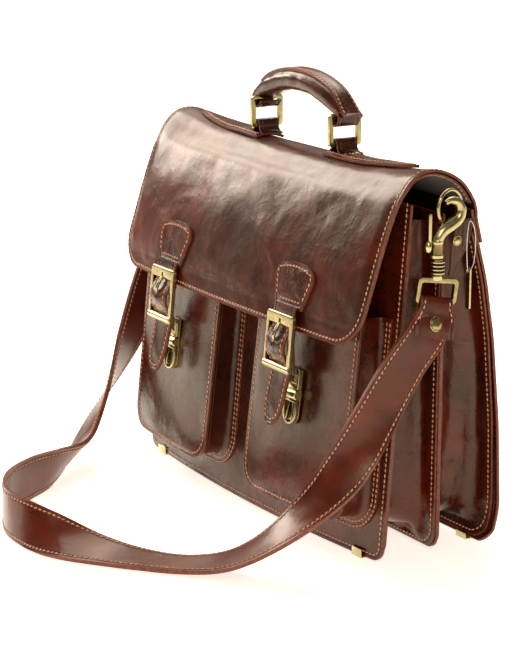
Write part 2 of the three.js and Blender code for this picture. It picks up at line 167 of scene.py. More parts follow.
def maths(tree, operation, first, second, clamp=False):
    node = addNode(tree, "ShaderNodeMath", {"operation": operation, "use_clamp": clamp})
    for socket, value in ((0, first), (1, second)):
        if isinstance(value, (int, float)):
            node.inputs[socket].default_value = value
        else:
            tree.links.new(value, node.inputs[socket])
    return node.outputs[0]


def scaled(tree, value, factor, offset):
    return maths(tree, "ADD", maths(tree, "MULTIPLY", value, factor), offset)


def weighted(tree, first, second, share):
    # first at its share, second at the rest
    return scaled(tree, first, share, maths(tree, "MULTIPLY", second, round(1 - share, 3)))


def fadeOut(tree, distance, start, end):
    # 1 up to the start distance, 0 from the end distance on
    return addNode(tree, "ShaderNodeMapRange", {
        "interpolation_type": "SMOOTHSTEP", 1: start, 2: end, 3: 1.0, 4: 0.0},
                   {0: distance}).outputs[0]


def mixColour(tree, factor, first, second):
    node = addNode(tree, "ShaderNodeMix", {"data_type": "RGBA"})
    for socket, value in ((0, factor), (6, first), (7, second)):
        if isinstance(value, bpy.types.NodeSocket):
            tree.links.new(value, node.inputs[socket])
        else:
            node.inputs[socket].default_value = hexColour(value)
    return node.outputs[2]


# Vegetable-tanned cowhide, waxed and polished: deep red-brown that is uneven in depth, a fine
# pebbled grain under a clear coat, and soft waves that break up the reflections.
leatherLook = {
    "deep": "#230904", "body": "#421207", "bright": "#661b0a", "groove": "#1c0704",
    "rubbed": "#8a4427",
    "reflection": "#ffe9cd",
    "cloud": 90, "mottle": 14, "wave": 46, "crease": 11, "grain": 2.2, "seamAt": 3.3,
}


def makeLeather(name, waveDepth, creaseDepth, roughness, lighter=0.0):
    look = leatherLook
    material, tree, place = newMaterial(name)
    cloud = noiseNode(tree, place, look["cloud"], 4, 0.55, 0.4)
    mottle = noiseNode(tree, place, look["mottle"], 5, 0.6)
    depth = maths(tree, "ADD", weighted(tree, cloud, mottle, 0.7), lighter)
    colour = ramp(tree, depth, [(0.34, look["deep"]), (0.5, look["body"]), (0.68, look["bright"])])
    edge = addNode(tree, "ShaderNodeAttribute", {"attribute_name": "edge"}).outputs["Fac"]
    # edge holds the distance to the nearest sewn side in mm
    away = maths(tree, "ABSOLUTE", maths(tree, "SUBTRACT", edge, look["seamAt"]), 0)
    groove = fadeOut(tree, away, 0.2, 1.5)
    rub = fadeOut(tree, edge, 0.1, 1.3)
    rubbed = maths(tree, "MULTIPLY", rub, maths(tree, "ADD", mottle, 0.1), True)
    colour = mixColour(tree, maths(tree, "MULTIPLY", groove, 0.55), colour, look["groove"])
    colour = mixColour(tree, rubbed, colour, look["rubbed"])
    crease = noiseNode(tree, place, look["crease"], 5, 0.62, 0.8)
    grain = addNode(tree, "ShaderNodeTexVoronoi", {
        "feature": "SMOOTH_F1", "Scale": 1000 / look["grain"], "Smoothness": 0.6},
                    {"Vector": place}).outputs["Distance"]
    wave = noiseNode(tree, place, look["wave"], 2, 0.45, 0.3)
    normal = bump(tree, wave, waveDepth, 0.6)
    normal = bump(tree, crease, creaseDepth, 0.5, normal)
    # drawn coarser than real pores, so that it shows
    normal = bump(tree, grain, 0.14, 0.45, normal)
    normal = bump(tree, maths(tree, "SUBTRACT", 1.0, groove), 0.9, 0.8, normal)
    rough = scaled(tree, mottle, 0.22, roughness - 0.1)
    finishMaterial(tree, {"IOR": 1.5, "Coat Weight": 0.32, "Coat Roughness": 0.18,
                          "Specular Tint": hexColour(look["reflection"]),
                          "Coat Tint": hexColour(look["reflection"])}, {
        "Base Color": colour, "Roughness": rough, "Normal": normal})
    return material


def makeCutEdge():
    # Cut edge of the hide, dyed and burnished: paler, matt, with fine lengthwise fibres
    material, tree, place = newMaterial("burnished_cut_edge")
    fibre = noiseNode(tree, place, 3.5, 5, 0.7)
    colour = ramp(tree, fibre, [(0.3, "#4e2010"), (0.55, "#7a3c20"), (0.75, "#9a5a36")])
    finishMaterial(tree, {"IOR": 1.5}, {
        "Base Color": colour, "Roughness": scaled(tree, fibre, 0.2, 0.38),
        "Normal": bump(tree, fibre, 0.25, 0.5)})
    return material


def makeSuede():
    # Flesh side of the hide: matt, short nap in uneven patches
    material, tree, place = newMaterial("flesh_side_suede")
    patch = noiseNode(tree, place, 35, 4, 0.6)
    nap = noiseNode(tree, place, 1.6, 3, 0.7)
    colour = ramp(tree, weighted(tree, patch, nap, 0.6), [
        (0.35, "#34180f"), (0.6, "#4b2617"), (0.75, "#5e3624")])
    finishMaterial(tree, {"Roughness": 0.92, "Sheen Weight": 0.35, "Sheen Roughness": 0.5}, {
        "Base Color": colour, "Normal": bump(tree, nap, 0.3, 0.6)})
    return material


def makeThread():
    # Waxed polyester thread in three plies: tan orange, slightly shiny
    material, tree, place = newMaterial("waxed_tan_thread")
    ply = noiseNode(tree, place, 2.4, 2, 0.6)
    colour = ramp(tree, ply, [(0.3, "#c06a42"), (0.6, "#eba57c"), (0.8, "#f9cdae")])
    finishMaterial(tree, {"Roughness": 0.55, "Sheen Weight": 0.2}, {
        "Base Color": colour, "Normal": bump(tree, ply, 0.15, 0.5)})
    return material


def makeBrass():
    # Antiqued brass: brushed and lacquered, pale gold where rubbed, brown oxide left in hollows
    material, tree, place = newMaterial("antiqued_brass")
    oxide = noiseNode(tree, place, 6, 4, 0.65)
    brushed = noiseNode(tree, place, 1.2, 3, 0.6)
    worn = addNode(tree, "ShaderNodeNewGeometry").outputs["Pointiness"]
    relief = addNode(tree, "ShaderNodeMapRange", {1: 0.44, 2: 0.56, 3: 0.0, 4: 1.0},
                     {0: worn}).outputs[0]
    tone = weighted(tree, relief, oxide, 0.6)
    colour = ramp(tree, tone, [(0.25, "#2e2413"), (0.5, "#8c7a48"), (0.75, "#d0c190")])
    rough = scaled(tree, oxide, 0.22, 0.12)
    finishMaterial(tree, {"Metallic": 1.0}, {
        "Base Color": colour, "Roughness": rough, "Normal": bump(tree, brushed, 0.06, 0.35)})
    return material


def makeSteel():
    # Drawn stainless wire: bright, with faint drawing marks
    material, tree, place = newMaterial("drawn_steel_wire")
    marks = noiseNode(tree, place, 1.0, 3, 0.6)
    colour = ramp(tree, marks, [(0.3, "#b9b8b2"), (0.7, "#e6e4dd")])
    finishMaterial(tree, {"Metallic": 1.0, "Roughness": 0.22}, {
        "Base Color": colour, "Normal": bump(tree, marks, 0.03, 0.3)})
    return material


def makeFloor():
    # Satin white acrylic lit from below: faint reflections, barely uneven, pale shadows
    material, tree, place = newMaterial("backlit_white_acrylic")
    cloud = noiseNode(tree, place, 600, 2)
    colour = ramp(tree, cloud, [(0.3, "#f6f2ea"), (0.7, "#faf7f1")])
    finishMaterial(tree, {"Roughness": 0.32, "Emission Color": hexColour(studio["floorGlow"]),
                          "Emission Strength": studio["floorStrength"]}, {"Base Color": colour})
    return material


leatherFlap = makeLeather("polished_cowhide_flap", 5.0, 0.8, 0.30)
leatherFirm = makeLeather("polished_cowhide_panel", 4.0, 0.5, 0.26)
leatherSoft = makeLeather("polished_cowhide_gusset", 8.0, 1.8, 0.28)
leatherStrap = makeLeather("polished_cowhide_strap", 2.5, 0.5, 0.3, 0.1)
cutEdge = makeCutEdge()
suede = makeSuede()
thread = makeThread()
brass = makeBrass()
steel = makeSteel()

studio = {
    "floorSize": 16, "floorGlow": "#fffaf0", "floorStrength": 0.8, "sky": "#fff6e6",
    "skyStrength": 0.17,
    "lamps": (
        # name, place, target, width, height, watts, colour
        ("overhead_softbox", (-1.2, 0.3, 2.6), (-0.2, 0, 0.25), 2.6, 2.2, 58, "#fff8ee"),
        ("left_high_softbox", (-2.42, -0.8, 1.04), (0, 0, 0.28), 0.8, 0.6, 16, "#fffaf2"),
        ("left_upper_softbox", (-2.24, -0.33, 1.66), (0, 0, 0.28), 1.5, 0.85, 25, "#fff8ee"),
        ("right_fill", (2.3, -0.9, 1.7), (0, 0, 0.2), 1.2, 1.2, 18, "#fff4e4"),
        ("far_floor_light", (-2.6, 2.4, 2.6), (-2.4, 2.0, 0), 3.4, 3.4, 48, "#fffaf0"),
        ("near_floor_light", (1.6, -2.2, 2.6), (0.4, -0.9, 0), 2.2, 2.2, 8, "#fff8ee"),
    ),
}


def makeStudio():
    bpy.ops.mesh.primitive_plane_add(size=studio["floorSize"])
    floor = bpy.context.object
    floor.name = "studio_floor"
    floor.data.materials.append(makeFloor())
    world = bpy.data.worlds.new("studio_sky")
    bpy.context.scene.world = world
    world.use_nodes = True
    sky = world.node_tree.nodes["Background"]
    sky.inputs["Color"].default_value = hexColour(studio["sky"])
    sky.inputs["Strength"].default_value = studio["skyStrength"]
    for name, place, target, width, height, watts, colour in studio["lamps"]:
        bpy.ops.object.light_add(type="AREA", location=place)
        lamp = bpy.context.object
        lamp.name = name
        lamp.data.shape = "RECTANGLE"
        lamp.data.size, lamp.data.size_y = width, height
        lamp.data.energy = watts
        lamp.data.color = hexColour(colour)[:3]
        aim = Vector(target) - Vector(place)
        lamp.rotation_euler = aim.to_track_quat("-Z", "Y").to_euler()
    bpy.context.scene.view_settings.view_transform = "Standard"


makeStudio()
print("camera, materials and studio ready")


# Shared ways of making leather sheets, seams and polished metal

def clamp(value, low=0.0, high=1.0):
    return min(high, max(low, value))


def lerp(a, b, t):
    return a + (b - a) * t


def ease(t):
    t = clamp(t)
    return t * t * (3 - 2 * t)


def evenly(start, end, steps):
    return [lerp(start, end, i / steps) for i in range(steps + 1)]


def mirrored(line):
    return [(-a, b) for a, b in reversed(line)]


def bunched(count):
    # positions 0..1, closer together at both ends
    return [(1 - math.cos(math.pi * i / count)) / 2 for i in range(count + 1)]


def toRow(point):
    return Vector((point[0], point[1] + baseForward, point[2])) * 0.001


def ripple(point, size, depth):
    return depth * noise.noise(Vector(point) / size)


def facing(flat, a, b):
    # point of a sheet and its outward direction, both in the drawing's mm
    step = 0.4
    across = flat(a + step, b) - flat(a - step, b)
    along = flat(a, b + step) - flat(a, b - step)
    return flat(a, b), across.cross(along).normalized()


def applyModifier(piece, kind, **settings):
    pick(piece)
    modifier = piece.modifiers.new(kind.lower(), kind)
    for name, value in settings.items():
        setattr(modifier, name, value)
    bpy.ops.object.modifier_apply(modifier=modifier.name)


def smooth(piece, degrees=40):
    pick(piece)
    bpy.ops.object.shade_smooth_by_angle(angle=math.radians(degrees))


def finishPiece(piece, body, slot, *nodes):
    if body:
        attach(piece, body)
    if nodes:
        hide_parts(*nodes)
    return piece


def makeSheet(name, flat, grid, columns, rows, thickness, hide, edgeAt, relief=None,
              edgeRound=0.55):
    # flat(a, b) is the outer face, grid(u, v) gives (a, b), and edgeAt(a, b) the distance
    # to the nearest sewn side; the rim takes the cut edge
    deselectAll()
    bpy.ops.mesh.primitive_grid_add(x_subdivisions=columns, y_subdivisions=rows, size=2)
    piece = bpy.context.object
    piece.name = name
    mesh = piece.data
    mesh.name = name
    acrossSteps, alongSteps = bunched(columns), bunched(rows)
    edge = mesh.attributes.new("edge", "FLOAT", "POINT")
    for i, vertex in enumerate(mesh.vertices):
        u = acrossSteps[round((vertex.co.x + 1) / 2 * columns)]
        v = alongSteps[round((vertex.co.y + 1) / 2 * rows)]
        a, b = grid(u, v)
        point, outward = facing(flat, a, b)
        distance = edgeAt(a, b)
        if relief:
            point = point + outward * (relief(point, a, b) * ease((distance - 1) / 12))
        edge.data[i].value = distance
        vertex.co = toRow(point)
    for finish in (hide, cutEdge):
        mesh.materials.append(finish)
    applyModifier(piece, "SOLIDIFY", thickness=thickness / 1000, offset=-1, use_rim=True,
                  material_offset_rim=1)
    applyModifier(piece, "BEVEL", width=edgeRound / 1000, segments=2, limit_method="ANGLE",
                  angle_limit=math.radians(55))
    smooth(piece, 50)
    return piece


def leatherFor(body, node, *shape, stands=True):
    # a sheet named after a CAD node, which it stands for unless told otherwise
    piece = makeSheet(node + "_leather", *shape)
    return finishPiece(piece, body, "leather", *([node] if stands else []))


def makeStitchShape():
    deselectAll()
    bpy.ops.mesh.primitive_uv_sphere_add(segments=6, ring_count=5, radius=0.5)
    grain = bpy.context.object
    with editing():
        bpy.ops.transform.rotate(value=math.pi / 2, orient_axis="Y", center_override=(0, 0, 0))
    shape = ([v.co.copy() for v in grain.data.vertices],
             [tuple(p.vertices) for p in grain.data.polygons])
    bpy.data.objects.remove(grain)
    return shape


stitchShape = makeStitchShape()
stitch = {"pitch": 4.5, "length": 3.3, "width": 1.5, "height": 1.1, "slant": 0.16, "lift": 0.2}


def sew(name, flat, lines, body, behind=0.0, blendTo=None):
    # stitches at even steps along lines of (a, b) on a sheet, or on its inner face where
    # behind is above 0
    pitch = stitch["pitch"]
    corners, faces = stitchShape
    vertices, polygons = [], []
    for line in lines:
        spots = [facing(flat, a, b) for a, b in line]
        travelled, nextStop = 0.0, pitch / 2
        for (start, startOut), (end, endOut) in zip(spots, spots[1:]):
            length = (end - start).length
            while length > 0 and nextStop <= travelled + length:
                share = (nextStop - travelled) / length
                outward = startOut.lerp(endOut, share).normalized() * (-1 if behind else 1)
                ahead = (end - start).normalized()
                sideways = outward.cross(ahead)
                ahead = (ahead + sideways * stitch["slant"]).normalized()
                sideways = outward.cross(ahead)
                centre = start.lerp(end, share) + outward * (stitch["lift"] + behind)
                first = len(vertices)
                reach = min(stitch["length"], pitch * 0.86)
                for corner in corners:
                    vertices.append(toRow(
                        centre + ahead * corner.x * reach + sideways * corner.y * stitch["width"]
                        + outward * corner.z * stitch["height"]))
                polygons += [[first + i for i in face] for face in faces]
                nextStop += pitch
            travelled += length
    mesh = bpy.data.meshes.new(name)
    mesh.from_pydata(vertices, [], polygons)
    mesh.materials.append(thread)
    piece = addPiece(name, mesh)
    smooth(piece, 80)
    if blendTo:
        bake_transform(piece)
        return finishPiece(piece, None, "thread")
    return finishPiece(piece, body, "thread")


def cornerInset(radius, b):
    return 0 if b >= radius else radius - math.sqrt(max(0, radius * radius - (radius - b) ** 2))


def roundedEdge(half, radius, length=None):
    # distance to the sides and the start of a sheet whose first corners are round
    def distance(a, b):
        acrossCorner, alongCorner = abs(a) - (half - radius), radius - b
        if acrossCorner > 0 and alongCorner > 0:
            near = radius - math.hypot(acrossCorner, alongCorner)
        else:
            near = min(half - abs(a), b)
        return min(near, length - b) if length else near
    return distance


def stripGrid(half, length):
    # half may be a number, or a function of the distance along the strip
    def grid(u, v):
        b = v * length
        return (2 * u - 1) * (half(b) if callable(half) else half), b
    return grid


def roundedGrid(half, length, radius):
    def grid(u, v):
        b = v * length
        return (2 * u - 1) * (half - cornerInset(radius, b)), b
    return grid


def roundedSeam(half, length, radius, inset, end=0.0):
    # one line down a side, round the start and up the other side
    reach, turn = half - inset, max(radius - inset, 1.0)
    steps = 40
    down = [(-reach, lerp(length - end, turn + inset, i / steps)) for i in range(steps)]
    bend = [(-reach + turn - turn * math.cos(t * math.pi / 16),
             inset + turn - turn * math.sin(t * math.pi / 16))
            for t in range(9)]
    flatRun = [(lerp(-reach + turn, reach - turn, i / steps), inset) for i in range(1, steps)]
    otherBend = mirrored(bend)
    up = mirrored(down)
    return down + bend + flatRun + otherBend + up


def burnished(node, body, width, segments):
    # a bevelled, smooth copy of a faceted CAD piece
    piece = addPiece(node + "_polished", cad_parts[node].data.copy())
    piece.data.materials.clear()
    piece.data.materials.append(brass)
    with editing():
        bpy.ops.mesh.remove_doubles(threshold=2e-5)
        bpy.ops.mesh.dissolve_limited(angle_limit=math.radians(3))
    applyModifier(piece, "BEVEL", width=width / 1000, segments=segments, limit_method="ANGLE",
                  angle_limit=math.radians(28))
    smooth(piece, 45)
    return finishPiece(piece, body, "brass", node)


# Shoulder strap: its centre line and the direction of its width, hook to hook

strap = {"width": 38, "thickness": 3.6, "seam": 3.3, "rows": 330}
strapRoute = [
    ((0.218, 0.002, 0.208), (0, 0.95, -0.3)), ((0.219, -0.005, 0.2), (0, 0.9, -0.42)),
    ((0.221, -0.015, 0.19), (0, 0.82, -0.55)), ((0.222, -0.029, 0.175), (0.05, 0.75, -0.65)),
    ((0.221, -0.043, 0.154), (0.15, 0.7, -0.68)), ((0.22, -0.057, 0.132), (0.25, 0.65, -0.7)),
    ((0.216, -0.075, 0.101), (0.5, 0.35, -0.6)), ((0.207, -0.097, 0.071), (0.75, -0.1, -0.5)),
    ((0.187, -0.127, 0.038), (0.75, -0.5, -0.3)), ((0.16, -0.152, 0.015), (0.75, -0.6, -0.1)),
    ((0.128, -0.176, 0.005), (0.76, -0.65, 0)), ((0.098, -0.202, 0.0045), (0.76, -0.65, -0.05)),
    ((0.07, -0.226, 0.008), (0.72, -0.65, -0.25)), ((0.042, -0.248, 0.014), (0.5, -0.6, -0.6)),
    ((0.008, -0.262, 0.019), (0.15, -0.3, -0.95)), ((-0.034, -0.263, 0.02), (0, -0.05, -1)),
    ((-0.076, -0.242, 0.02), (0, 0, -1)), ((-0.104, -0.208, 0.02), (0, 0, -1)),
    ((-0.124, -0.174, 0.019), (-0.2, -0.2, -0.9)), ((-0.148, -0.145, 0.018), (-0.5, -0.4, -0.8)),
    ((-0.172, -0.123, 0.022), (-0.7, -0.3, -0.6)), ((-0.191, -0.102, 0.036), (-0.75, -0.1, -0.5)),
    ((-0.202, -0.082, 0.057), (-0.7, 0.15, -0.5)), ((-0.208, -0.064, 0.082), (-0.55, 0.4, -0.6)),
    ((-0.212, -0.047, 0.112), (-0.3, 0.6, -0.7)), ((-0.216, -0.031, 0.145), (-0.15, 0.7, -0.68)),
    ((-0.219, -0.014, 0.18), (-0.05, 0.8, -0.6)), ((-0.219, -0.005, 0.199), (0, 0.9, -0.42)),
    ((-0.218, 0.002, 0.208), (0, 0.95, -0.3)),
]


def alongPoints(points, t):
    # Catmull-Rom through the points, t from 0 to 1
    spot = clamp(t) * (len(points) - 1)
    i = min(int(spot), len(points) - 2)
    share = spot - i
    before = points[i - 1] if i else points[0] * 2 - points[1]
    after = points[i + 2] if i + 2 < len(points) else points[-1] * 2 - points[-2]
    a, b = points[i], points[i + 1]
    return 0.5 * (2 * a + (b - before) * share + (2 * before - 5 * a + 4 * b - after) * share ** 2
                  + (3 * a - before - 3 * b + after) * share ** 3)


def makeStrap():
    centres = [Vector(c) for c, w in strapRoute]
    widths = [Vector(w) for c, w in strapRoute]
    steps = 600
    fine = [alongPoints(centres, i / steps) for i in range(steps + 1)]
    length = sum((b - a).length for a, b in zip(fine, fine[1:]))
    print("shoulder strap length", round(length, 4), "m")

    def flat(a, b):
        t = b / (length * 1000)
        centre = alongPoints(centres, t)
        ahead = (alongPoints(centres, t + 0.002) - alongPoints(centres, t - 0.002)).normalized()
        width = alongPoints(widths, t)
        width = (width - ahead * width.dot(ahead)).normalized()
        outward = ahead.cross(width)
        point = (centre - width * a * 0.001) * 1000 + outward * strap["thickness"] / 2
        return Vector((point.x, point.y - baseForward, point.z))

    half, long = strap["width"] / 2, length * 1000

    piece = makeSheet("shoulder_strap_leather", flat, stripGrid(half, long), 14, strap["rows"],
                      strap["thickness"], leatherStrap, lambda a, b: half - abs(a),
                      lambda point, a, b: ripple(point, 28, 0.5))
    seamLines = [[(s * (half - strap["seam"]), b) for b in evenly(3, long - 3, 500)]
                 for s in (-1, 1)]
    front = sew("shoulder_strap_stitches", flat, seamLines, "root")
    inner = sew("shoulder_strap_inner_stitches", flat, seamLines, "root", behind=strap["thickness"])
    finishPiece(piece, "root", "leather", "shoulder_strap")
    return piece, front, inner, fine, length


strapPiece, strapFront, strapInner, strapPath, strapLength = makeStrap()
print("shoulder strap made")


# Main panels and gussets. Every surface below is in the drawing's mm, with its front at -Y.

panel = {"half": 200, "leather": 2.4, "foot": 1.8, "corner": 12, "seam": 4.6,
         "frontTop": 300, "backTop": 291, "dividerTop": 290, "dividerFoot": 4, "dividerY": 2.5}
backProfile = [(49.5, 1.8), (58.5, 12), (64, 31), (62, 106), (55.5, 182), (47.5, 230), (37.5, 266),
               (31, 291)]


def bowAt(x):
    return 1 - (x / panel["half"]) ** 2


def frontY(x, z):
    return -53 + 23 / 302 * z - (12 - 0.02 * z) * bowAt(x)


def backY(x, z):
    i = 0
    while i < len(backProfile) - 2 and z > backProfile[i + 1][1]:
        i += 1
    (startY, startZ), (endY, endZ) = backProfile[i], backProfile[i + 1]
    y = lerp(startY, endY, clamp((z - startZ) / (endZ - startZ)))
    return y + 3 * bowAt(x) * math.sin(math.pi * clamp(z / 300))


def softBackY(x, z):
    # the same profile with its corners rounded off
    return sum(backY(x, z + shift) for shift in (-8, -4, 0, 4, 8)) / 5 if z > 24 else backY(x, z)


def makePanel(name, side, surface, top, foot, finish, node):
    length, radius = top - foot, panel["corner"]

    def flat(a, b):
        spread = 5 * clamp(1 - b / 200) if side > 0 else 0
        x = -side * a * (1 + spread / panel["half"])
        return Vector((x, surface(x, foot + b), foot + b))

    edgeAt = roundedEdge(panel["half"], radius)
    piece = makeSheet(name, flat, roundedGrid(panel["half"], length, radius), 56, 64,
                      panel["leather"], finish, edgeAt,
                      lambda point, a, b: ripple(point, 60, 0.9) + ripple(point, 22, 0.25), 0.8)
    finishPiece(piece, "root", "leather", node)
    line = roundedSeam(panel["half"], length, radius, panel["seam"])
    sew(name + "_stitches", flat, [line], "root")


makePanel("front_panel_leather", -1, frontY, panel["frontTop"], panel["foot"], leatherFirm,
          "front_panel")
makePanel("back_panel_leather", 1, softBackY, panel["backTop"], panel["foot"], leatherFirm,
          "back_panel")
makePanel("divider_leather", -1, lambda x, z: panel["dividerY"] - 1.2, panel["dividerTop"],
          panel["dividerFoot"], leatherFirm, "divider_panel")


def uPath(half, foot, top, radius, t):
    # round three sides of a panel: side, corner, bottom, corner, side
    side = 1 if t < 0.5 else -1
    w = 1 - abs(2 * t - 1)
    if w < 0.46:
        x, z = half, lerp(top, foot + radius, w / 0.46)
    elif w < 0.66:
        angle = math.pi / 2 * (w - 0.46) / 0.2
        x = half - radius + radius * math.cos(angle)
        z = foot + radius - radius * math.sin(angle)
    else:
        x, z = lerp(half - radius, 0, (w - 0.66) / 0.34), foot
    return Vector((x * side, 0, z))


def runGrid(size):
    # even steps along a gusset's run, bunched ones across it
    def grid(u, v):
        return math.acos(1 - 2 * u) / math.pi * size["run"], v * size["spread"]
    return grid


gusset = {"thickness": 1.8, "run": 900, "spread": 110, "foldSide": 26, "foldFoot": 13,
          "seam": 0.034}


def makeGusset(name, startY, endY, top, node):
    half = panel["half"] - 1

    def flat(a, b):
        t, v = clamp(a / gusset["run"], 0.0001, 0.9999), b / gusset["spread"]
        fold = math.sin(math.pi * clamp(v)) ** 0.8
        point = uPath(half, 6, top, panel["corner"], t).lerp(
            uPath(half - gusset["foldSide"], 6 + gusset["foldFoot"], top, 26, t), fold)
        across = ease((v - 0.16) / 0.68)
        point.y = lerp(startY(point.x, point.z) + 1.7, endY(point.x, point.z) - 1.7, across)
        return point

    def edgeAt(a, b):
        v = clamp(b / gusset["spread"])
        return gusset["foldSide"] * math.sin(math.pi * min(v, 1 - v)) ** 0.8

    def folds(point, a, b):
        # long soft folds down the sides, crumpled towards the foot
        low = clamp(1 - point.z / 110)
        long = ripple((point.x / 3, point.y * 1.6, point.z / 5), 22, 2.8)
        return long + ripple(point, 20, 0.8 + 2.8 * low) + ripple(point, 8, 0.3 + 0.6 * low)

    piece = makeSheet(name, flat, runGrid(gusset), 220, 34, gusset["thickness"], leatherSoft,
                      edgeAt, folds, 0.45)
    finishPiece(piece, "root", "leather", node)
    lines = [[(a, share * gusset["spread"]) for a in evenly(2, gusset["run"] - 2, 400)]
             for share in (gusset["seam"], 1 - gusset["seam"])]
    sew(name + "_stitches", flat, lines, "root")


makeGusset("front_gusset_leather", lambda x, z: frontY(x, z) + panel["leather"],
           lambda x, z: panel["dividerY"] - 1.2, 282, "front_gusset")
makeGusset("rear_gusset_leather", lambda x, z: panel["dividerY"] + 1.2,
           lambda x, z: softBackY(x, z) - panel["leather"] - 1.2, 272, "rear_gusset")
print("panels and gussets made")


# Pockets: a front with round lower corners, and a wall with a flange stitched down twice

pocketSize = {"half": 73, "middle": 107, "foot": 32, "top": 205, "depth": 28, "corner": 22,
              "leather": 2.4, "seam": 4.0, "run": 520, "spread": 60}


def pocketY(x, t, z):
    size = pocketSize
    return frontY(x, z) - size["depth"] + 4 * ((z - size["foot"]) / 173) - 1.5 * (1 - t * t)


def makePocket(label, side):
    size = pocketSize
    middle, length = side * size["middle"], size["top"] - size["foot"]

    def front(a, b):
        x = middle + a
        return Vector((x, pocketY(x, a / size["half"], size["foot"] + b), size["foot"] + b))

    leatherFor("root", label + "_pocket_front", front,
        roundedGrid(size["half"], length, size["corner"]), 30, 48, size["leather"], leatherFirm,
               roundedEdge(size["half"], size["corner"]),
               lambda point, a, b: ripple(point, 48, 1.3) + ripple(point, 18, 0.3), 0.7)
    sew(label + "_pocket_front_stitches", front,
        [roundedSeam(size["half"], length, size["corner"], size["seam"])], "root")

    def wall(a, b):
        t, v = clamp(a / size["run"], 0.0001, 0.9999), b / size["spread"]
        turn = ease((v - 0.5) / 0.5)
        point = uPath(size["half"] - 1.2, size["foot"] + 1.2, size["top"], 21, t).lerp(
            uPath(size["half"] + 9, size["foot"] - 9, size["top"], 31, t), turn)
        bulge = math.sin(math.pi * clamp(v / 0.72))
        share = clamp(abs(point.x) / size["half"])
        point.x = middle + point.x * (1 - 0.02 * bulge)
        start = pocketY(point.x, share, point.z) + size["leather"] + 0.9
        point.y = lerp(start, frontY(point.x, point.z) - 1.4, ease(v / 0.72))
        return point

    def edgeAt(a, b):
        v = clamp(b / size["spread"])
        return min(v * 30, (1 - v) * 32)

    leatherFor("root", label + "_pocket_gusset", wall, runGrid(size), 130, 24, 1.7, leatherSoft,
               edgeAt, lambda point, a, b: ripple(point, 16, 0.7) + ripple(point, 7, 0.25), 0.4)
    lines = [[(a, share * size["spread"]) for a in evenly(2, size["run"] - 2, 300)]
             for share in (0.75, 0.905)]
    sew(label + "_pocket_gusset_stitches", wall, lines, "root")


for label, side in sides:
    makePocket(label, side)
print("pockets made")


# Flap: one hide from its front edge over the top, bending at the hinge into the band
# that is stitched to the back panel

flap = {"half": 200, "corner": 32, "thickness": 2.2, "sag": 8, "hingeY": 34, "hingeZ": 296,
        "seam": 3.6,
        "bandFoot": 262}
flapProfile = [(-82, 186), (-75.5, 211), (-68, 235), (-60, 260), (-52, 283), (-44, 302),
               (-36, 314.5),
               (-28, 322.5), (-17, 327), (-4, 327), (9, 322.5), (20, 315.5), (28, 306.5), (34, 297)]


def measureProfile():
    points = [Vector((0, y, z)) for y, z in flapProfile]
    fine = [alongPoints(points, i / 900) for i in range(901)]
    reached = [0.0]
    for a, b in zip(fine, fine[1:]):
        reached.append(reached[-1] + (b - a).length)
    return fine, reached


flapFine, flapReached = measureProfile()
flapLength = flapReached[-1]
bandLength = flap["hingeZ"] - flap["bandFoot"]


def profileAt(s):
    s = clamp(s, 0, flapLength)
    low, high = 0, len(flapReached) - 1
    while high - low > 1:
        middle = (low + high) // 2
        if flapReached[middle] <= s:
            low = middle
        else:
            high = middle
    share = (s - flapReached[low]) / (flapReached[high] - flapReached[low])
    return flapFine[low].lerp(flapFine[high], share)


def flapPoint(x, s):
    if s > flapLength:
        z = flap["hingeZ"] + 1 - (s - flapLength)
        band = softBackY(x, z) + 3.2 + 2.2 * clamp((z - 284) / 12)
        return Vector((x, lerp(flap["hingeY"], band, ease((297 - z) / 9)), z))
    point = profileAt(s)
    sag = flap["sag"] * (1 - (x / 200) ** 4) * ease((point.z - 296) / 22)
    bow = 7 * bowAt(x) * clamp(1 - s / 150) ** 0.7
    if s < 0:  # just past the front edge, for directions there
        point = point + (profileAt(0) - profileAt(1)) * -s
    return Vector((x, point.y - bow, point.z - sag))


def flapRelief(point, a, b):
    # broad hollows, and slanting creases that run down from the crown
    slanted = Vector((a * 0.9 + b * 0.5, b * 0.25, 3))
    creases = ripple(slanted, 16, 0.55) * ease(1 - abs(b - 75) / 80)
    lip = 0.9 * ease(1 - b / 4.2)  # the front edge rolls out a little past its seam
    belly = 2.8 * math.sin(math.pi * clamp((b - 14) / 124))
    return ripple((a, b, 9), 62, 1.2) + ripple((a, b, 4), 26, 0.35) + creases + lip + belly


def lengthTo(height):
    # how far along the flap, from its front edge, that height is first reached
    reached = 0
    while profileAt(reached).z < height:
        reached += 0.5
    return reached


flapBend = ("root", "flap", (0, 0.0538, 0.295), (0, 0.0488, 0.2983))


def makeFlap():
    radius, whole = flap["corner"], flapLength + bandLength
    piece = makeSheet("flap_leather", flapPoint, roundedGrid(flap["half"], whole, radius), 76, 120,
                      flap["thickness"], leatherFlap, roundedEdge(flap["half"], radius, whole),
                      flapRelief, 0.7)
    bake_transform(piece)
    finishPiece(piece, None, "leather", "flap_outer", "flap_back_seam")
    seam = roundedSeam(flap["half"], whole, radius, flap["seam"], 3)
    band = [[(a, whole - inset) for a in evenly(-194, 194, 120)] for inset in (4.5, 8.5)]
    sew("flap_stitches", flapPoint, [seam] + band, None, blendTo=flapBend)
    reach = flap["half"] - 1.5

    def lining(a, b):
        point, outward = facing(flapPoint, a, b + 1.5)
        return point - outward * 3.3

    piece = makeSheet("flap_lining_suede", lining, roundedGrid(reach, flapLength - 3, radius - 1.5),
                      60, 80, 1.2, suede, roundedEdge(reach, radius - 1.5), flapRelief, 0.3)
    finishPiece(piece, "flap", "suede", "flap_lining")
    seam = roundedSeam(reach, flapLength - 3, radius - 1.5, flap["seam"] - 1.5, 3)
    sew("flap_lining_stitches", lining, [seam], "flap", behind=1.2)


makeFlap()
print("flap made")


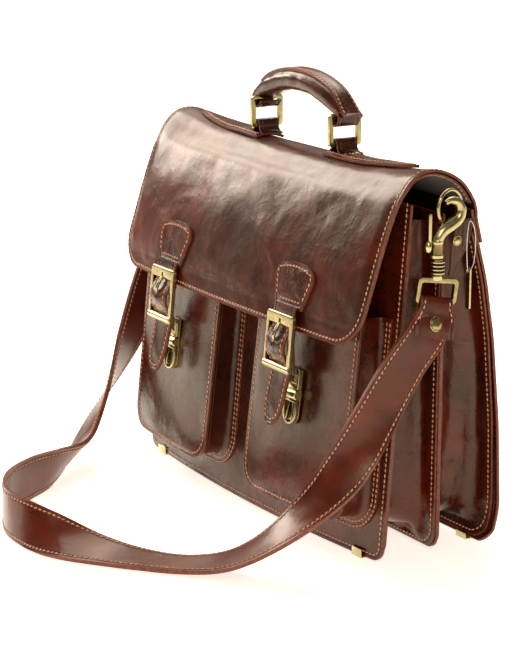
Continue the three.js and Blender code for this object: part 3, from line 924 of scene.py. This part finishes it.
# Closures: shield, neck, buckled strap and the tongue of the clip lock

closure = {"middle": 102, "strapHalf": 14, "shieldNeck": 19.5, "shieldWide": 27.5, "widestAt": 0.66,
           "shieldFoot": 202, "shieldHead": 238, "neckHalf": 16, "neckLength": 25,
           "strapLength": 88, "tongueHalf": 5, "tongueLength": 38, "eyeletAt": 59}


def makeClosureLeather(label, side):
    middle = side * closure["middle"]
    foot, head = lengthTo(closure["shieldFoot"]), lengthTo(closure["shieldHead"])
    shieldLength = head - foot

    def shieldHalf(b):
        v = clamp(b / shieldLength)
        widest = closure["widestAt"]
        if v < widest:
            return lerp(closure["shieldNeck"], closure["shieldWide"], (v / widest) ** 0.85)
        return closure["shieldWide"] * (1 - (0.95 * (v - widest) / (1 - widest)) ** 2.6) ** 0.5

    def shield(a, b):
        point, outward = facing(flapPoint, middle + a, foot + b)
        return point + outward * (2.6 + flapRelief(point, middle + a, foot + b))

    def shieldEdge(a, b):
        return min(shieldHalf(b) - abs(a), shieldLength - b, b)

    leatherFor("flap", label + "_shield", shield, stripGrid(shieldHalf, shieldLength), 18, 26, 2.4,
               leatherSoft, shieldEdge, lambda point, a, b: ripple((a, b * 2, side * 7), 7, 0.5)
               + ripple((a, b, 2), 20, 0.5), 0.6)
    inset = 3.0
    left = [(-(shieldHalf(b) - inset), b) for b in evenly(8, shieldLength - 7, 30)]
    crown = [(lerp(left[-1][0], -left[-1][0], i / 10),
              shieldLength - 7 + 3.6 * math.sin(math.pi * i / 10))
             for i in range(1, 10)]
    right = mirrored(left)
    bars = [[(a, 6.0) for a in evenly(-15, 15, 12)]]
    sew(label + "_shield_stitches", shield, [left + crown + right] + bars, "flap")

    # Neck: the shield's narrow end, which runs down behind the buckle's upper bar
    neckPoints = [Vector((0, y, z)) for y, z in [
        (-87.2, 206), (-88.6, 199.5), (-88.7, 193.5), (-88.5, 188.0), (-88.0, 182.0)]]

    neckHalf, neckLength = closure["neckHalf"], closure["neckLength"]

    def neck(a, b):
        point = alongPoints(neckPoints, 1 - b / neckLength)
        return Vector((middle + a, point.y, point.z))

    leatherFor("flap", label + "_neck", neck, stripGrid(neckHalf, neckLength), 10, 22, 1.4,
               leatherSoft, lambda a, b: neckHalf - abs(a), None, 0.35, stands=False)

    hang = [Vector((0, y, z)) for y, z in [
        (-103.6, 104), (-98.4, 125), (-92.4, 150), (-94.4, 158), (-98.0, 167), (-97.6, 176),
        (-93.4, 184),
        (-89.8, 190)]]
    long = closure["strapLength"]
    half = closure["strapHalf"]

    def strapShape(a, b):
        point = alongPoints(hang, b / long)
        swell = 1.6 * (1 - (a / half) ** 2) * ease(1 - abs(point.z - 170) / 14)
        return Vector((middle + a, point.y - swell, point.z))

    def strapHalfAt(b):
        return half * (math.sqrt(max(0.001, 1 - 0.985 * ((16 - b) / 16) ** 2)) if b < 16 else 1)

    leatherFor("flap", label + "_closure_strap", strapShape, stripGrid(strapHalfAt, long), 16, 54,
        2.4, leatherSoft, lambda a, b: min(strapHalfAt(b) - abs(a), b + 1),
               lambda point, a, b: ripple((a, b * 1.5, side), 9, 0.35), 0.6)
    side1 = [(-(strapHalfAt(b) - 2.8), b) for b in evenly(long - 2, 4.4, 60)]
    sew(label + "_closure_strap_stitches", strapShape, [side1 + [(0, 3.0)] + mirrored(side1)],
        "flap")

    # punched adjusting hole, a dark eyelet just proud of the strap
    deselectAll()
    holeAt, holeOut = facing(strapShape, 0, closure["eyeletAt"])
    bpy.ops.mesh.primitive_torus_add(major_radius=0.0021, minor_radius=0.0005, major_segments=20,
                                     minor_segments=8)
    hole = bpy.context.object
    hole.name = label + "_strap_hole_rim"
    turn = holeOut.to_track_quat("Z", "Y").to_matrix().to_4x4()
    hole.data.transform(Matrix.Translation(toRow(holeAt + holeOut * 0.1)) @ turn)
    hole.location = (0, 0, 0)
    edge = hole.data.attributes.new("edge", "FLOAT", "POINT")
    for i in range(len(hole.data.vertices)):
        edge.data[i].value = 20
    hole.data.materials.append(leatherSoft)
    smooth(hole)
    finishPiece(hole, "flap", "leather")

    def tongue(a, b):
        return Vector((middle + side * 3 + a, lerp(-83.4, -85.4, b / 40), 146 + b))

    leatherFor("flap", label + "_lock_tongue", tongue,
        stripGrid(closure["tongueHalf"], closure["tongueLength"]), 6, 12, 1.8, leatherSoft,
               lambda a, b: closure["tongueHalf"] - abs(a) + 1, None, 0.4)


for label, side in sides:
    makeClosureLeather(label, side)
print("closures made")


# Handle: patches and loops on the flap, and a padded grip with a stitched cap strip

handle = {"ringX": 64, "y": -6, "lowerBarZ": 329, "upperBarZ": 353, "rise": 21, "end": 71,
          "crownZ": 326.9, "patchHalf": 14, "patchEnd": 176, "loopHalf": 10, "loopLength": 44,
          "sleeveHalf": 10.8, "sleeveLength": 45, "capStart": -0.83, "capEnd": 1.05}
crownAt = lengthTo(handle["crownZ"]) + 10


def makeHandleMount(label, side):
    inner, outer = handle["ringX"] - 9, handle["patchEnd"]
    long = outer - inner

    def patchHalf(b):
        return handle["patchHalf"] * min(1.0, math.sqrt(max(0.01, (1 - b / long) / 0.6)))

    def patch(a, b):
        # b runs outwards from the ring; a across the patch
        x = side * (inner + b)
        point, outward = facing(flapPoint, x, crownAt + side * a)
        return point + outward * (3.2 + flapRelief(point, x, crownAt + side * a))

    def turned(a, b):
        return patch(-a, b)

    leatherFor("flap", label + "_handle_patch", turned, stripGrid(patchHalf, long), 14, 44, 2.6,
               leatherFirm, lambda a, b: min(patchHalf(b) - abs(a), b + 2, (long - b) * 1.5), None,
               0.6)
    line = [(-(patchHalf(b) - 2.8), b) for b in evenly(4, long - 5, 70)]
    line += mirrored(line)
    bar = [(a, 26) for a in evenly(-11, 11, 10)]
    sew(label + "_handle_patch_stitches", turned, [line, bar], "flap")

    # Loop of leather round the ring's lower bar, its two layers closing on the patch
    loopPoints = [Vector((x, 0, z)) for x, z in [
        (-15, -6.6), (-9, -5.9), (-5.6, -3.2), (-4.9, 0.6), (-2.9, 4.3), (0.4, 5.1), (3.6, 3.8),
        (4.9, 0.4),
        (5.3, -3.2), (8.4, -5.9), (12, -6.6)]]

    def loop(a, b):
        point = alongPoints(loopPoints, b / handle["loopLength"])
        return Vector((side * (handle["ringX"] - point.x), handle["y"] + side * a,
                       handle["lowerBarZ"] + point.z))

    leatherFor("flap", label + "_handle_loop", loop,
        stripGrid(handle["loopHalf"], handle["loopLength"]), 8, 40, 1.7, leatherFirm,
               lambda a, b: handle["loopHalf"] - abs(a) + 0.6, None, 0.4)


for label, side in sides:
    makeHandleMount(label, side)


def gripSection(lean):
    rise = handle["rise"] * (1 - abs(lean) ** 2.2)
    slope = -handle["rise"] * 2.2 * math.copysign(1, lean) * abs(lean) ** 1.2 / handle["end"]
    pad = ease((1 - abs(lean)) / 0.35)
    up = Vector((-slope, 0, 1)).normalized()
    centre = Vector((lean * handle["end"], handle["y"], handle["upperBarZ"] + 1 + rise))
    return centre, up, lerp(10.5, 12.0, pad), lerp(6.2, 9.2, pad)


def makeGrip():
    around, along = 32, 84
    deselectAll()
    bpy.ops.mesh.primitive_grid_add(x_subdivisions=around, y_subdivisions=along, size=2)
    piece = bpy.context.object
    piece.name = "handle_grip_leather"
    mesh = piece.data
    edge = mesh.attributes.new("edge", "FLOAT", "POINT")
    for i, vertex in enumerate(mesh.vertices):
        angle = (vertex.co.x + 1) * math.pi
        lean = math.sin(vertex.co.y * math.pi / 2)
        centre, up, halfDepth, halfHeight = gripSection(lean)
        close = math.sqrt(max(0.0, 1 - max(0.0, (abs(lean) - 0.965) / 0.035) ** 2)) * 0.94 + 0.06
        s, c = math.sin(angle), math.cos(angle)
        across = halfDepth * math.copysign(abs(s) ** 0.8, s) * close
        high = halfHeight * math.copysign(abs(c) ** 0.8, c) * close
        point = centre + up * high + Vector((0, across, 0))
        squeeze = ripple((point.x, across * 2, high), 11, 0.35)
        point += (point - centre).normalized() * squeeze
        edge.data[i].value = 20
        vertex.co = toRow(point)
    mesh.materials.append(leatherFirm)
    with editing():
        bpy.ops.mesh.remove_doubles(threshold=1e-5)
        bpy.ops.mesh.select_all(action="DESELECT")
        bpy.ops.mesh.select_mode(type="EDGE")
        bpy.ops.mesh.select_non_manifold()
        bpy.ops.mesh.fill_holes(sides=0)
        bpy.ops.mesh.select_all(action="SELECT")
        bpy.ops.mesh.normals_make_consistent(inside=False)
    smooth(piece, 60)
    finishPiece(piece, "handle", "leather", "handle_grip")

    start, end = handle["capStart"], handle["capEnd"]
    long = (end - start) * handle["end"]

    def turned(a, b):
        # b runs from the right end, which flares over its ring, to the left end
        lean = end - b / handle["end"]
        centre, up, _, halfHeight = gripSection(lean)
        flare = ease((lean - 0.74) / 0.3)
        return centre + up * (halfHeight + 1.9 - 0.014 * a * a
                              + 1.6 * flare) + Vector((-0.5 * flare, a, -4.5 * flare))

    def capHalf(b):
        return 7.8 - 1.0 * (1 - ease((long - b) / 20)) + 1.6 * (1 - ease(b / 26))

    leatherFor("handle", "handle_cap_strip", turned, stripGrid(capHalf, long), 12, 60, 2.8,
               leatherFirm, lambda a, b: min(capHalf(b) - abs(a), b + 1, long - b + 1), None, 0.6,
               stands=False)
    lines = [[(s * (capHalf(b) - 1.9), b) for b in evenly(3, long - 3, 90)]
             for s in (-1, 1)]
    sew("handle_cap_stitches", turned, lines, "handle")

    # Sleeves: the grip's leather folded round the upper bars
    for label, side in sides:
        sleevePoints = [Vector((x, 0, z)) for x, z in [
            (9, 8.2), (3.5, 6.8), (-3.5, 5.8), (-7.4, 1.4), (-7.4, -4.2), (-4.2, -8.4), (1.2, -8.8),
            (5.2, -6.4),
            (8, -3.0)]]

        def sleeve(a, b, side=side, points=sleevePoints):
            point = alongPoints(points, b / handle["sleeveLength"])
            return Vector((side * (handle["ringX"] - point.x), handle["y"] - side * a,
                           handle["upperBarZ"] + point.z))

        leatherFor("handle", label + "_grip_sleeve", sleeve,
            stripGrid(handle["sleeveHalf"], handle["sleeveLength"]), 10, 40, 1.8, leatherFirm,
                   lambda a, b: handle["sleeveHalf"] - abs(a) + 0.4, None, 0.45, stands=False)


makeGrip()
print("handle made")


# Side tabs

tabLength = 46


def makeSideTab(label, side):
    def tab(a, b):
        v = b / tabLength
        y = lerp(8, 21, v) + side * a
        return Vector((side * (204.6 + 0.9 * math.sin(math.pi * clamp(v))), y, lerp(239, 285, v)))

    def tabHalf(b):
        return lerp(2.6, 8.2, ease(b / 30))

    leatherFor("root", label + "_side_tab", tab, stripGrid(tabHalf, tabLength), 10, 24, 2.6,
               leatherFirm, lambda a, b: tabHalf(b) - abs(a) + 1, None, 0.5)


for label, side in sides:
    makeSideTab(label, side)
print("side tabs made")


# Brass fittings

def lathe(name, profile, place, axis, steps=36):
    # profile holds (radius, height) in mm from bottom to top, turned about the axis through place
    mesh = bpy.data.meshes.new(name)
    mesh.from_pydata([(r / 1000, 0, h / 1000) for r, h in profile],
                     [(i, i + 1) for i in range(len(profile) - 1)], [])
    piece = addPiece(name, mesh)
    with editing():
        bpy.ops.mesh.spin(steps=steps, angle=2 * math.pi, center=(0, 0, 0), axis=(0, 0, 1))
        bpy.ops.mesh.select_all(action="SELECT")
        bpy.ops.mesh.remove_doubles(threshold=2e-6)
        bpy.ops.mesh.normals_make_consistent(inside=False)
    turn = Vector(axis).to_track_quat("Z", "Y").to_matrix().to_4x4()
    mesh.transform(Matrix.Translation(toRow(place)) @ turn)
    mesh.materials.append(brass)
    smooth(piece, 35)
    return piece


def barAlong(name, points, finish, sides=16):
    # a round bar through (x, y, z, radius) in the drawing's mm, with closed ends
    curve = bpy.data.curves.new(name, "CURVE")
    curve.dimensions = "3D"
    curve.bevel_depth = 0.001
    curve.bevel_resolution = sides // 4
    curve.use_fill_caps = True
    spline = curve.splines.new("POLY")
    fine = [alongPoints([Vector(p) for p in points], i / 60) for i in range(61)]
    spline.points.add(len(fine) - 1)
    for knot, spot in zip(spline.points, fine):
        knot.co = (*toRow(spot), 1)
        knot.radius = spot[3]
    piece = addPiece(name, curve)
    bpy.ops.object.convert(target="MESH")
    piece = bpy.context.object
    with editing():
        bpy.ops.mesh.remove_doubles(threshold=1e-6)
        bpy.ops.mesh.normals_make_consistent(inside=False)
    piece.data.materials.clear()
    piece.data.materials.append(finish)
    smooth(piece, 50)
    return piece


def joinPieces(name, *pieces):
    deselectAll()
    for piece in pieces:
        piece.select_set(True)
    bpy.context.view_layer.objects.active = pieces[0]
    bpy.ops.object.join()
    pieces[0].name = name
    return pieces[0]


def selectFaces(piece, test):
    # face selection by place and normal, in edit mode
    bpy.ops.object.mode_set(mode="OBJECT")
    for polygon in piece.data.polygons:
        polygon.select = test(polygon.center, polygon.normal)
    bpy.ops.object.mode_set(mode="EDIT")


buckle = {"width": 40, "height": 49, "depth": 4.6, "side": 3.9, "upperBar": 9.6, "lowerBar": 5.5,
          "corner": 3.2, "lean": -0.1, "y": -90.2, "top": 199, "roller": 3.3, "slot": 3.4}


def makeBuckle(label, side):
    look = buckle
    deselectAll()
    bpy.ops.mesh.primitive_cube_add(size=1, location=(0, 0, -look["height"] / 2000))
    piece = bpy.context.object
    piece.name = label + "_buckle_frame"
    piece.data.transform(Matrix.Diagonal((look["width"] / 1000, look["depth"] / 1000,
                                          look["height"] / 1000, 1)))
    piece.data.transform(Matrix.Translation(piece.location))
    piece.location = (0, 0, 0)
    bpy.ops.object.mode_set(mode="EDIT")
    bpy.ops.mesh.select_mode(type="FACE")
    selectFaces(piece, lambda centre, normal: abs(normal.y) > 0.9)
    bpy.ops.mesh.inset(thickness=look["side"] / 1000, use_individual=True)
    bpy.ops.mesh.delete(type="FACE")
    bpy.ops.mesh.select_mode(type="EDGE")
    bpy.ops.mesh.select_all(action="DESELECT")
    bpy.ops.mesh.select_non_manifold()
    bpy.ops.mesh.bridge_edge_loops()
    bpy.ops.object.mode_set(mode="OBJECT")
    inner = look["width"] / 2 - look["side"]
    for vertex in piece.data.vertices:
        x, y, z = (c * 1000 for c in vertex.co)
        if abs(x) < inner + 0.5:
            upper = z > -look["height"] / 2
            z = -look["upperBar"] if upper else -look["height"] + look["lowerBar"]
            vertex.co = (x / 1000, y / 1000, z / 1000)
    bpy.ops.object.mode_set(mode="EDIT")
    bpy.ops.mesh.select_mode(type="EDGE")
    bpy.ops.mesh.select_all(action="DESELECT")
    bpy.ops.object.mode_set(mode="OBJECT")
    for edge in piece.data.edges:
        a, b = (piece.data.vertices[i].co for i in edge.vertices)
        corner = abs(abs(a.x) - look["width"] / 2000) < 1e-5 and abs(a.y - b.y) > 0.003
        edge.select = corner
    bpy.ops.object.mode_set(mode="EDIT")
    bpy.ops.mesh.bevel(offset=look["corner"] / 1000, segments=5)
    bpy.ops.mesh.select_all(action="SELECT")
    bpy.ops.mesh.normals_make_consistent(inside=False)
    bpy.ops.object.mode_set(mode="OBJECT")
    # slot in the upper bar for the prong's eye
    bpy.ops.mesh.primitive_cube_add(size=1, location=(0, 0, -look["upperBar"] / 1000))
    cutter = bpy.context.object
    cutter.scale = (look["slot"] / 1000, 0.02, 0.0095)
    applyModifier(piece, "BOOLEAN", operation="DIFFERENCE", object=cutter, solver="EXACT")
    bpy.data.objects.remove(cutter)
    applyModifier(piece, "BEVEL", width=0.0009, segments=3, limit_method="ANGLE",
                  angle_limit=math.radians(40))
    # the lower bar is a rounded cross-piece that stands proud of the sides
    half = look["width"] / 2
    profile = [(0, -half - 0.4), (look["roller"] - 1, -half - 0.4), (look["roller"], -half + 0.8),
               (look["roller"], half - 0.8), (look["roller"] - 1, half + 0.4), (0, half + 0.4)]
    roller = lathe("roller", profile, (0, -baseForward - 0.3, -look["height"] + 3.4), (1, 0, 0),
                   steps=28)
    piece.data.materials.append(brass)
    piece = joinPieces(label + "_buckle_frame", piece, roller)
    place = Matrix.Translation(toRow((side * closure["middle"], look["y"], look["top"])))
    piece.data.transform(place @ Matrix.Rotation(look["lean"], 4, "X"))
    smooth(piece, 40)
    finishPiece(piece, label + "_buckle", "brass", label + "_buckle")
    middle = side * closure["middle"]
    prong = barAlong(label + "_buckle_prong_polished", [
        (middle, -92.2, 190.4, 1.1), (middle, -94.2, 188.6, 1.5), (middle, -96.6, 185, 1.6),
        (middle, -98.4, 181.4, 1.5),
        (middle, -98.6, 178.4, 1.3), (middle, -97.4, 176.2, 0.9)], brass)
    finishPiece(prong, label + "_prong", "brass", label + "_buckle_prong")


lock = {"half": 9.5, "foot": 102.5, "top": 150, "rimTop": 123.5, "rim": 2.1, "y": -81.6,
        "lean": -0.112, "aside": 3}


def plateAlong(name, outline, hole, front, depth, bevel=0.0004):
    # a flat plate from an outline of (x, z) in mm, its front at y = front, with an optional opening
    rings = [outline] + ([hole] if hole else [])
    vertices = [(x / 1000, front / 1000, z / 1000) for ring in rings for x, z in ring]
    edges, first = [], 0
    for ring in rings:
        edges += [(first + i, first + (i + 1) % len(ring)) for i in range(len(ring))]
        first += len(ring)
    mesh = bpy.data.meshes.new(name)
    mesh.from_pydata(vertices, edges, [])
    piece = addPiece(name, mesh)
    with editing():
        bpy.ops.mesh.fill()
        bpy.ops.mesh.select_all(action="SELECT")
        bpy.ops.mesh.extrude_region_move(TRANSFORM_OT_translate={"value": (0, depth / 1000, 0)})
        bpy.ops.mesh.select_all(action="SELECT")
        bpy.ops.mesh.normals_make_consistent(inside=False)
    applyModifier(piece, "BEVEL", width=bevel, segments=2, limit_method="ANGLE",
                  angle_limit=math.radians(35))
    mesh.materials.append(brass)
    return piece


def roundFooted(half, top, foot):
    # outline with straight sides and a half-round foot, anticlockwise from the upper left
    turns = [math.pi + math.pi * i / 16 for i in range(17)]
    return [(-half, top)] + [(half * math.cos(t), foot + half + half * math.sin(t))
                             for t in turns] + [(half, top)]


def makeLock(label, side):
    look = lock
    inner = look["half"] - look["rim"]
    plate = plateAlong("plate", roundFooted(look["half"], look["top"], look["foot"]), None, -1.2,
                       1.2)
    outer = roundFooted(look["half"], look["rimTop"], look["foot"])
    opening = roundFooted(inner, look["rimTop"] - 1.5, look["foot"] + look["rim"])
    rim = plateAlong("rim", outer, opening, -5.0, 4.2, 0.0006)
    collar = lathe("collar", [(0, -9.4), (3.6, -9.4), (4.3, -8.6), (4.3, 8.6), (3.6, 9.4),
                              (0, 9.4)],
                   (0, -baseForward - 3.0, 128.6), (1, 0, 0))
    ends = [lathe("end", [(0, 0), (1.6, 0), (1.6, 0.9), (0.8, 1.3), (0, 1.3)],
                  (s * 6.6, -baseForward - 1.2, 143.5), (0, -1, 0), steps=16) for s in (-1, 1)]
    body = joinPieces(label + "_lock_case", plate, rim, collar, *ends)
    # the lever is a wedge with a ridge down its middle, narrow under the collar
    deselectAll()
    bpy.ops.mesh.primitive_cube_add(size=2)
    lever = bpy.context.object
    lever.name = label + "_lock_lever_wedge"
    bpy.ops.object.mode_set(mode="EDIT")
    bpy.ops.mesh.subdivide(number_cuts=1)
    bpy.ops.object.mode_set(mode="OBJECT")
    for vertex in lever.data.vertices:
        x, y, z = vertex.co
        high = (z + 1) / 2
        half = lerp(5.4, 2.0, high)
        ridge = (1 - abs(x)) * lerp(2.2, 1.4, high)
        depth = lerp(5.0, 2.8, high) + ridge if y < 0 else lerp(3.9, 1.5, high)
        vertex.co = (x * half / 1000, -depth / 1000, lerp(107.2, 124.5, high) / 1000)
    lever.data.materials.append(brass)
    applyModifier(lever, "BEVEL", width=0.0003, segments=2, limit_method="ANGLE",
                  angle_limit=math.radians(18))
    place = Matrix.Translation(toRow((side * closure["middle"] + side * look["aside"], look["y"],
                                      look["foot"])))
    turn = place @ Matrix.Rotation(look["lean"], 4,
                                   "X") @ Matrix.Translation((0, 0, -look["foot"] / 1000))
    for piece in (body, lever):
        piece.data.transform(turn)
        smooth(piece, 30)
    finishPiece(body, "root", "brass", label + "_lock_plate")
    finishPiece(lever, label + "_lever", "brass", label + "_lock_lever")


for label, side in sides:
    makeBuckle(label, side)
    burnished(label + "_lock_fork", "flap", 0.55, 3)
    makeLock(label, side)
    burnished(label + "_handle_ring", label + "_ring", 0.9, 3)
    burnished("front_" + label + "_edge_clip", "root", 0.3, 2)
    burnished("rear_" + label + "_edge_clip", "root", 0.3, 2)
print("buckles and locks made")


def domed(radius, height=1.5):
    rim = radius - 0.7
    return [(0, -1.0), (radius - 0.3, -1.0), (radius, -0.5), (radius, 0.0), (radius - 0.3, 0.3),
            (rim, 0.25),
            (rim - 0.4, 0.45), (rim * 0.72, height * 0.62), (rim * 0.4, height * 0.82),
            (0, height * 0.9)]


def rivetFrom(node, radius, axis):
    low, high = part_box(node)
    middle = (low + high) / 2 * 1000
    piece = lathe(node + "_dome", domed(radius), (middle.x, middle.y - baseForward, middle.z), axis)
    return finishPiece(piece, "root", "brass", node)


strapEnd = {"half": 19, "throat": 15.6, "long": 64, "thickness": 1.7}


def makeSideHardware(label, side):
    # side ring: drawn wire bent round and brazed shut
    deselectAll()
    bpy.ops.mesh.primitive_torus_add(major_radius=0.0142, minor_radius=0.0016, major_segments=72,
                                     minor_segments=16)
    ring = bpy.context.object
    ring.name = label + "_side_ring_wire"
    for vertex in ring.data.vertices:  # the brazed joint is a little thicker
        angle = math.atan2(vertex.co.y, vertex.co.x)
        swell = 1 + 0.22 * math.exp(-((angle + 2.2) / 0.07) ** 2)
        core = Vector((math.cos(angle), math.sin(angle), 0)) * 0.0142
        vertex.co = core + (vertex.co - core) * swell
    ring.data.transform(Matrix.Translation(toRow((side * 208, 2,
                                                  297))) @ Matrix.Rotation(0.25 * side, 4, "Z")
                        @ Matrix.Rotation(math.pi / 2, 4, "Y"))
    ring.data.materials.append(brass)
    smooth(ring)
    finishPiece(ring, label + "_side_ring", "brass", label + "_side_ring")
    rivetFrom(label + "_tab_rivet", 4.2, (side, 0, 0))

    x = side * 214
    crook = barAlong(label + "_hook_crook", [
        (x, -14, 268, 4.6), (x, -13.2, 274, 5.0), (x, -9.0, 279.6, 5.2), (x, -1.5, 283.6, 5.3),
        (x, 6.0, 288.4, 5.0),
        (x, 8.6, 295.4, 4.5), (x, 5.2, 301.8, 3.9), (x, -1.6, 303.8, 3.1), (x, -6.6, 302.2, 2.2)],
                     brass, 20)
    barrel = lathe(label + "_hook_barrel", [
        (0, 257.4), (4.2, 257.4), (5.2, 258.4), (5.2, 260.6), (4.7, 261.2), (4.7, 269.5),
        (5.1, 270.2), (5.1, 272.2),
        (4.4, 273.6), (3.7, 276.4), (0, 277)], (x, -14, 0), (0, 0, 1))
    body = joinPieces(label + "_hook_casting", crook, barrel)
    finishPiece(body, "root", "brass", label + "_hook_body")

    rod = lathe(label + "_hook_gate_rod", [
        (0, 265), (1.4, 265), (1.5, 266), (1.5, 292), (1.2, 294.6), (0, 295)], (x, -20.9, 0),
                (0, 0, 1), steps=20)
    knob = lathe(label + "_hook_gate_knob", [
        (0, 263.4), (1.6, 263.6), (2.7, 265.2), (3.1, 267.8), (2.7, 270.6), (1.6, 272.2),
        (0, 272.6)],
        (x, -22.4, 0), (0, 0, 1), steps=24)
    gate = joinPieces(label + "_hook_gate", rod, knob)
    finishPiece(gate, label + "_bolt", "brass", label + "_hook_bolt")

    ribs = [(0, 244.6), (4.6, 244.6)]
    for z in (245.0, 248.0, 251.0, 254.0):
        ribs += [(5.6, z + 0.1), (6.0, z + 0.6), (6.0, z + 1.2), (5.6, z + 1.7), (4.3, z + 2.0),
                 (4.3, z + 2.6)]
    ribs += [(3.4, 257.0), (0, 257.1)]
    swivel = lathe(label + "_hook_swivel", ribs, (x, -13, 0), (0, 0, 1), steps=32)
    finishPiece(swivel, "root", "brass", label + "_hook_collar")
    bow = burnished(label + "_hook_bow", "root", 1.2, 4)
    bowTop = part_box(label + "_hook_bow")[1].z * 1000
    boss = lathe(label + "_hook_pin_head", [
        (0, bowTop - 4.4), (4.2, bowTop - 4.4), (4.8, bowTop - 3.8), (4.8, bowTop - 0.4),
        (4.2, bowTop + 0.4),
        (3.4, bowTop + 1), (3.4, 245), (0, 245)], (x, -14, 0), (0, 0, 1), steps=28)
    finishPiece(boss, "root", "brass")

    # strap end: the hide goes over the bow's lower bar, and its tail is riveted and stitched down
    bar = Vector((x, -14.9, 222.4))
    up = (bar - Vector((side * 218, -18, 208))).normalized()
    width = Vector((0, 0.97, -0.22))
    width = (width - up * width.dot(up)).normalized()
    out = width.cross(up) * side
    path = [Vector((n, u, 0)) for n, u in [
        (0.6, -30), (1.9, -21), (2.2, -12), (3.2, -5), (3.7, 0), (2.7, 3), (0, 4.3), (-2.7, 3),
        (-3.7, 0),
        (-3.4, -5), (-3.0, -12), (-3.2, -20), (-3.8, -27)]]

    def fold(a, b):
        spot = alongPoints(path, b / strapEnd["long"])
        return bar + out * spot.x + up * spot.y + width * (-side * a)

    def foldHalf(b):
        height = alongPoints(path, b / strapEnd["long"]).y
        return lerp(strapEnd["half"] + 0.2, strapEnd["throat"], ease((height + 13) / 9))

    def turned(a, b):
        return fold(a, strapEnd["long"] - b)

    def edgeAt(a, b):
        return min(foldHalf(strapEnd["long"] - b) - abs(a), b + 0.5)

    loop = leatherFor("root", label + "_strap_end", turned,
        lambda u, v: ((2 * u - 1) * foldHalf(strapEnd["long"] * (1 - v)), v * strapEnd["long"]), 14,
                      64, strapEnd["thickness"], leatherStrap, edgeAt, None, 0.4, stands=False)
    long = strapEnd["long"]
    edges = [[(s * (foldHalf(b) - 3.1), long - b) for b in evenly(8, 21, 20)] for s in (-1, 1)]
    seams = sew(label + "_strap_end_stitches", turned, edges, "root")
    head = bar + up * -18.5 + out * 2.9
    rivet = lathe(label + "_strap_rivet_dome", domed(6.2, 1.7), head, out)
    finishPiece(rivet, "root", "brass", label + "_strap_rivet")
    return [p.name for p in (body, gate, swivel, bow, boss, loop, seams, rivet)]


strapFittings = []
for label, side in sides:
    strapFittings += makeSideHardware(label, side)
    low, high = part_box(label + "_patch_rivet")
    top = (low + high) / 2 * 1000
    rivet = lathe(label + "_patch_rivet_dome", domed(4.0),
                  (top.x, top.y - baseForward, top.z - 0.6), (0, 0, 1))
    finishPiece(rivet, "flap", "brass", label + "_patch_rivet")
print("rings, hooks and strap ends made")


def makeKeys():
    burnished("key", "key", 0.3, 2)
    spots = []
    for i in range(37):  # the wire bows out on its free side and hangs straight on the other
        turn = 2 * math.pi * i / 36
        reach = 6.3 if math.sin(turn) > 0 else 2.4
        spots.append((208.4, 22 + reach * math.sin(turn), 263 + 21 * math.cos(turn), 0.42))
    wire = barAlong("key_wire_loop", spots, steel, 8)
    finishPiece(wire, "key_wire", "steel_wire", "key_wire")


makeKeys()
print("keys made")


# The shoulder strap's first path point and every twelfth one, taken and left unused

tuple(strapPath[0])
[tuple(p) for p in strapPath[::12]]
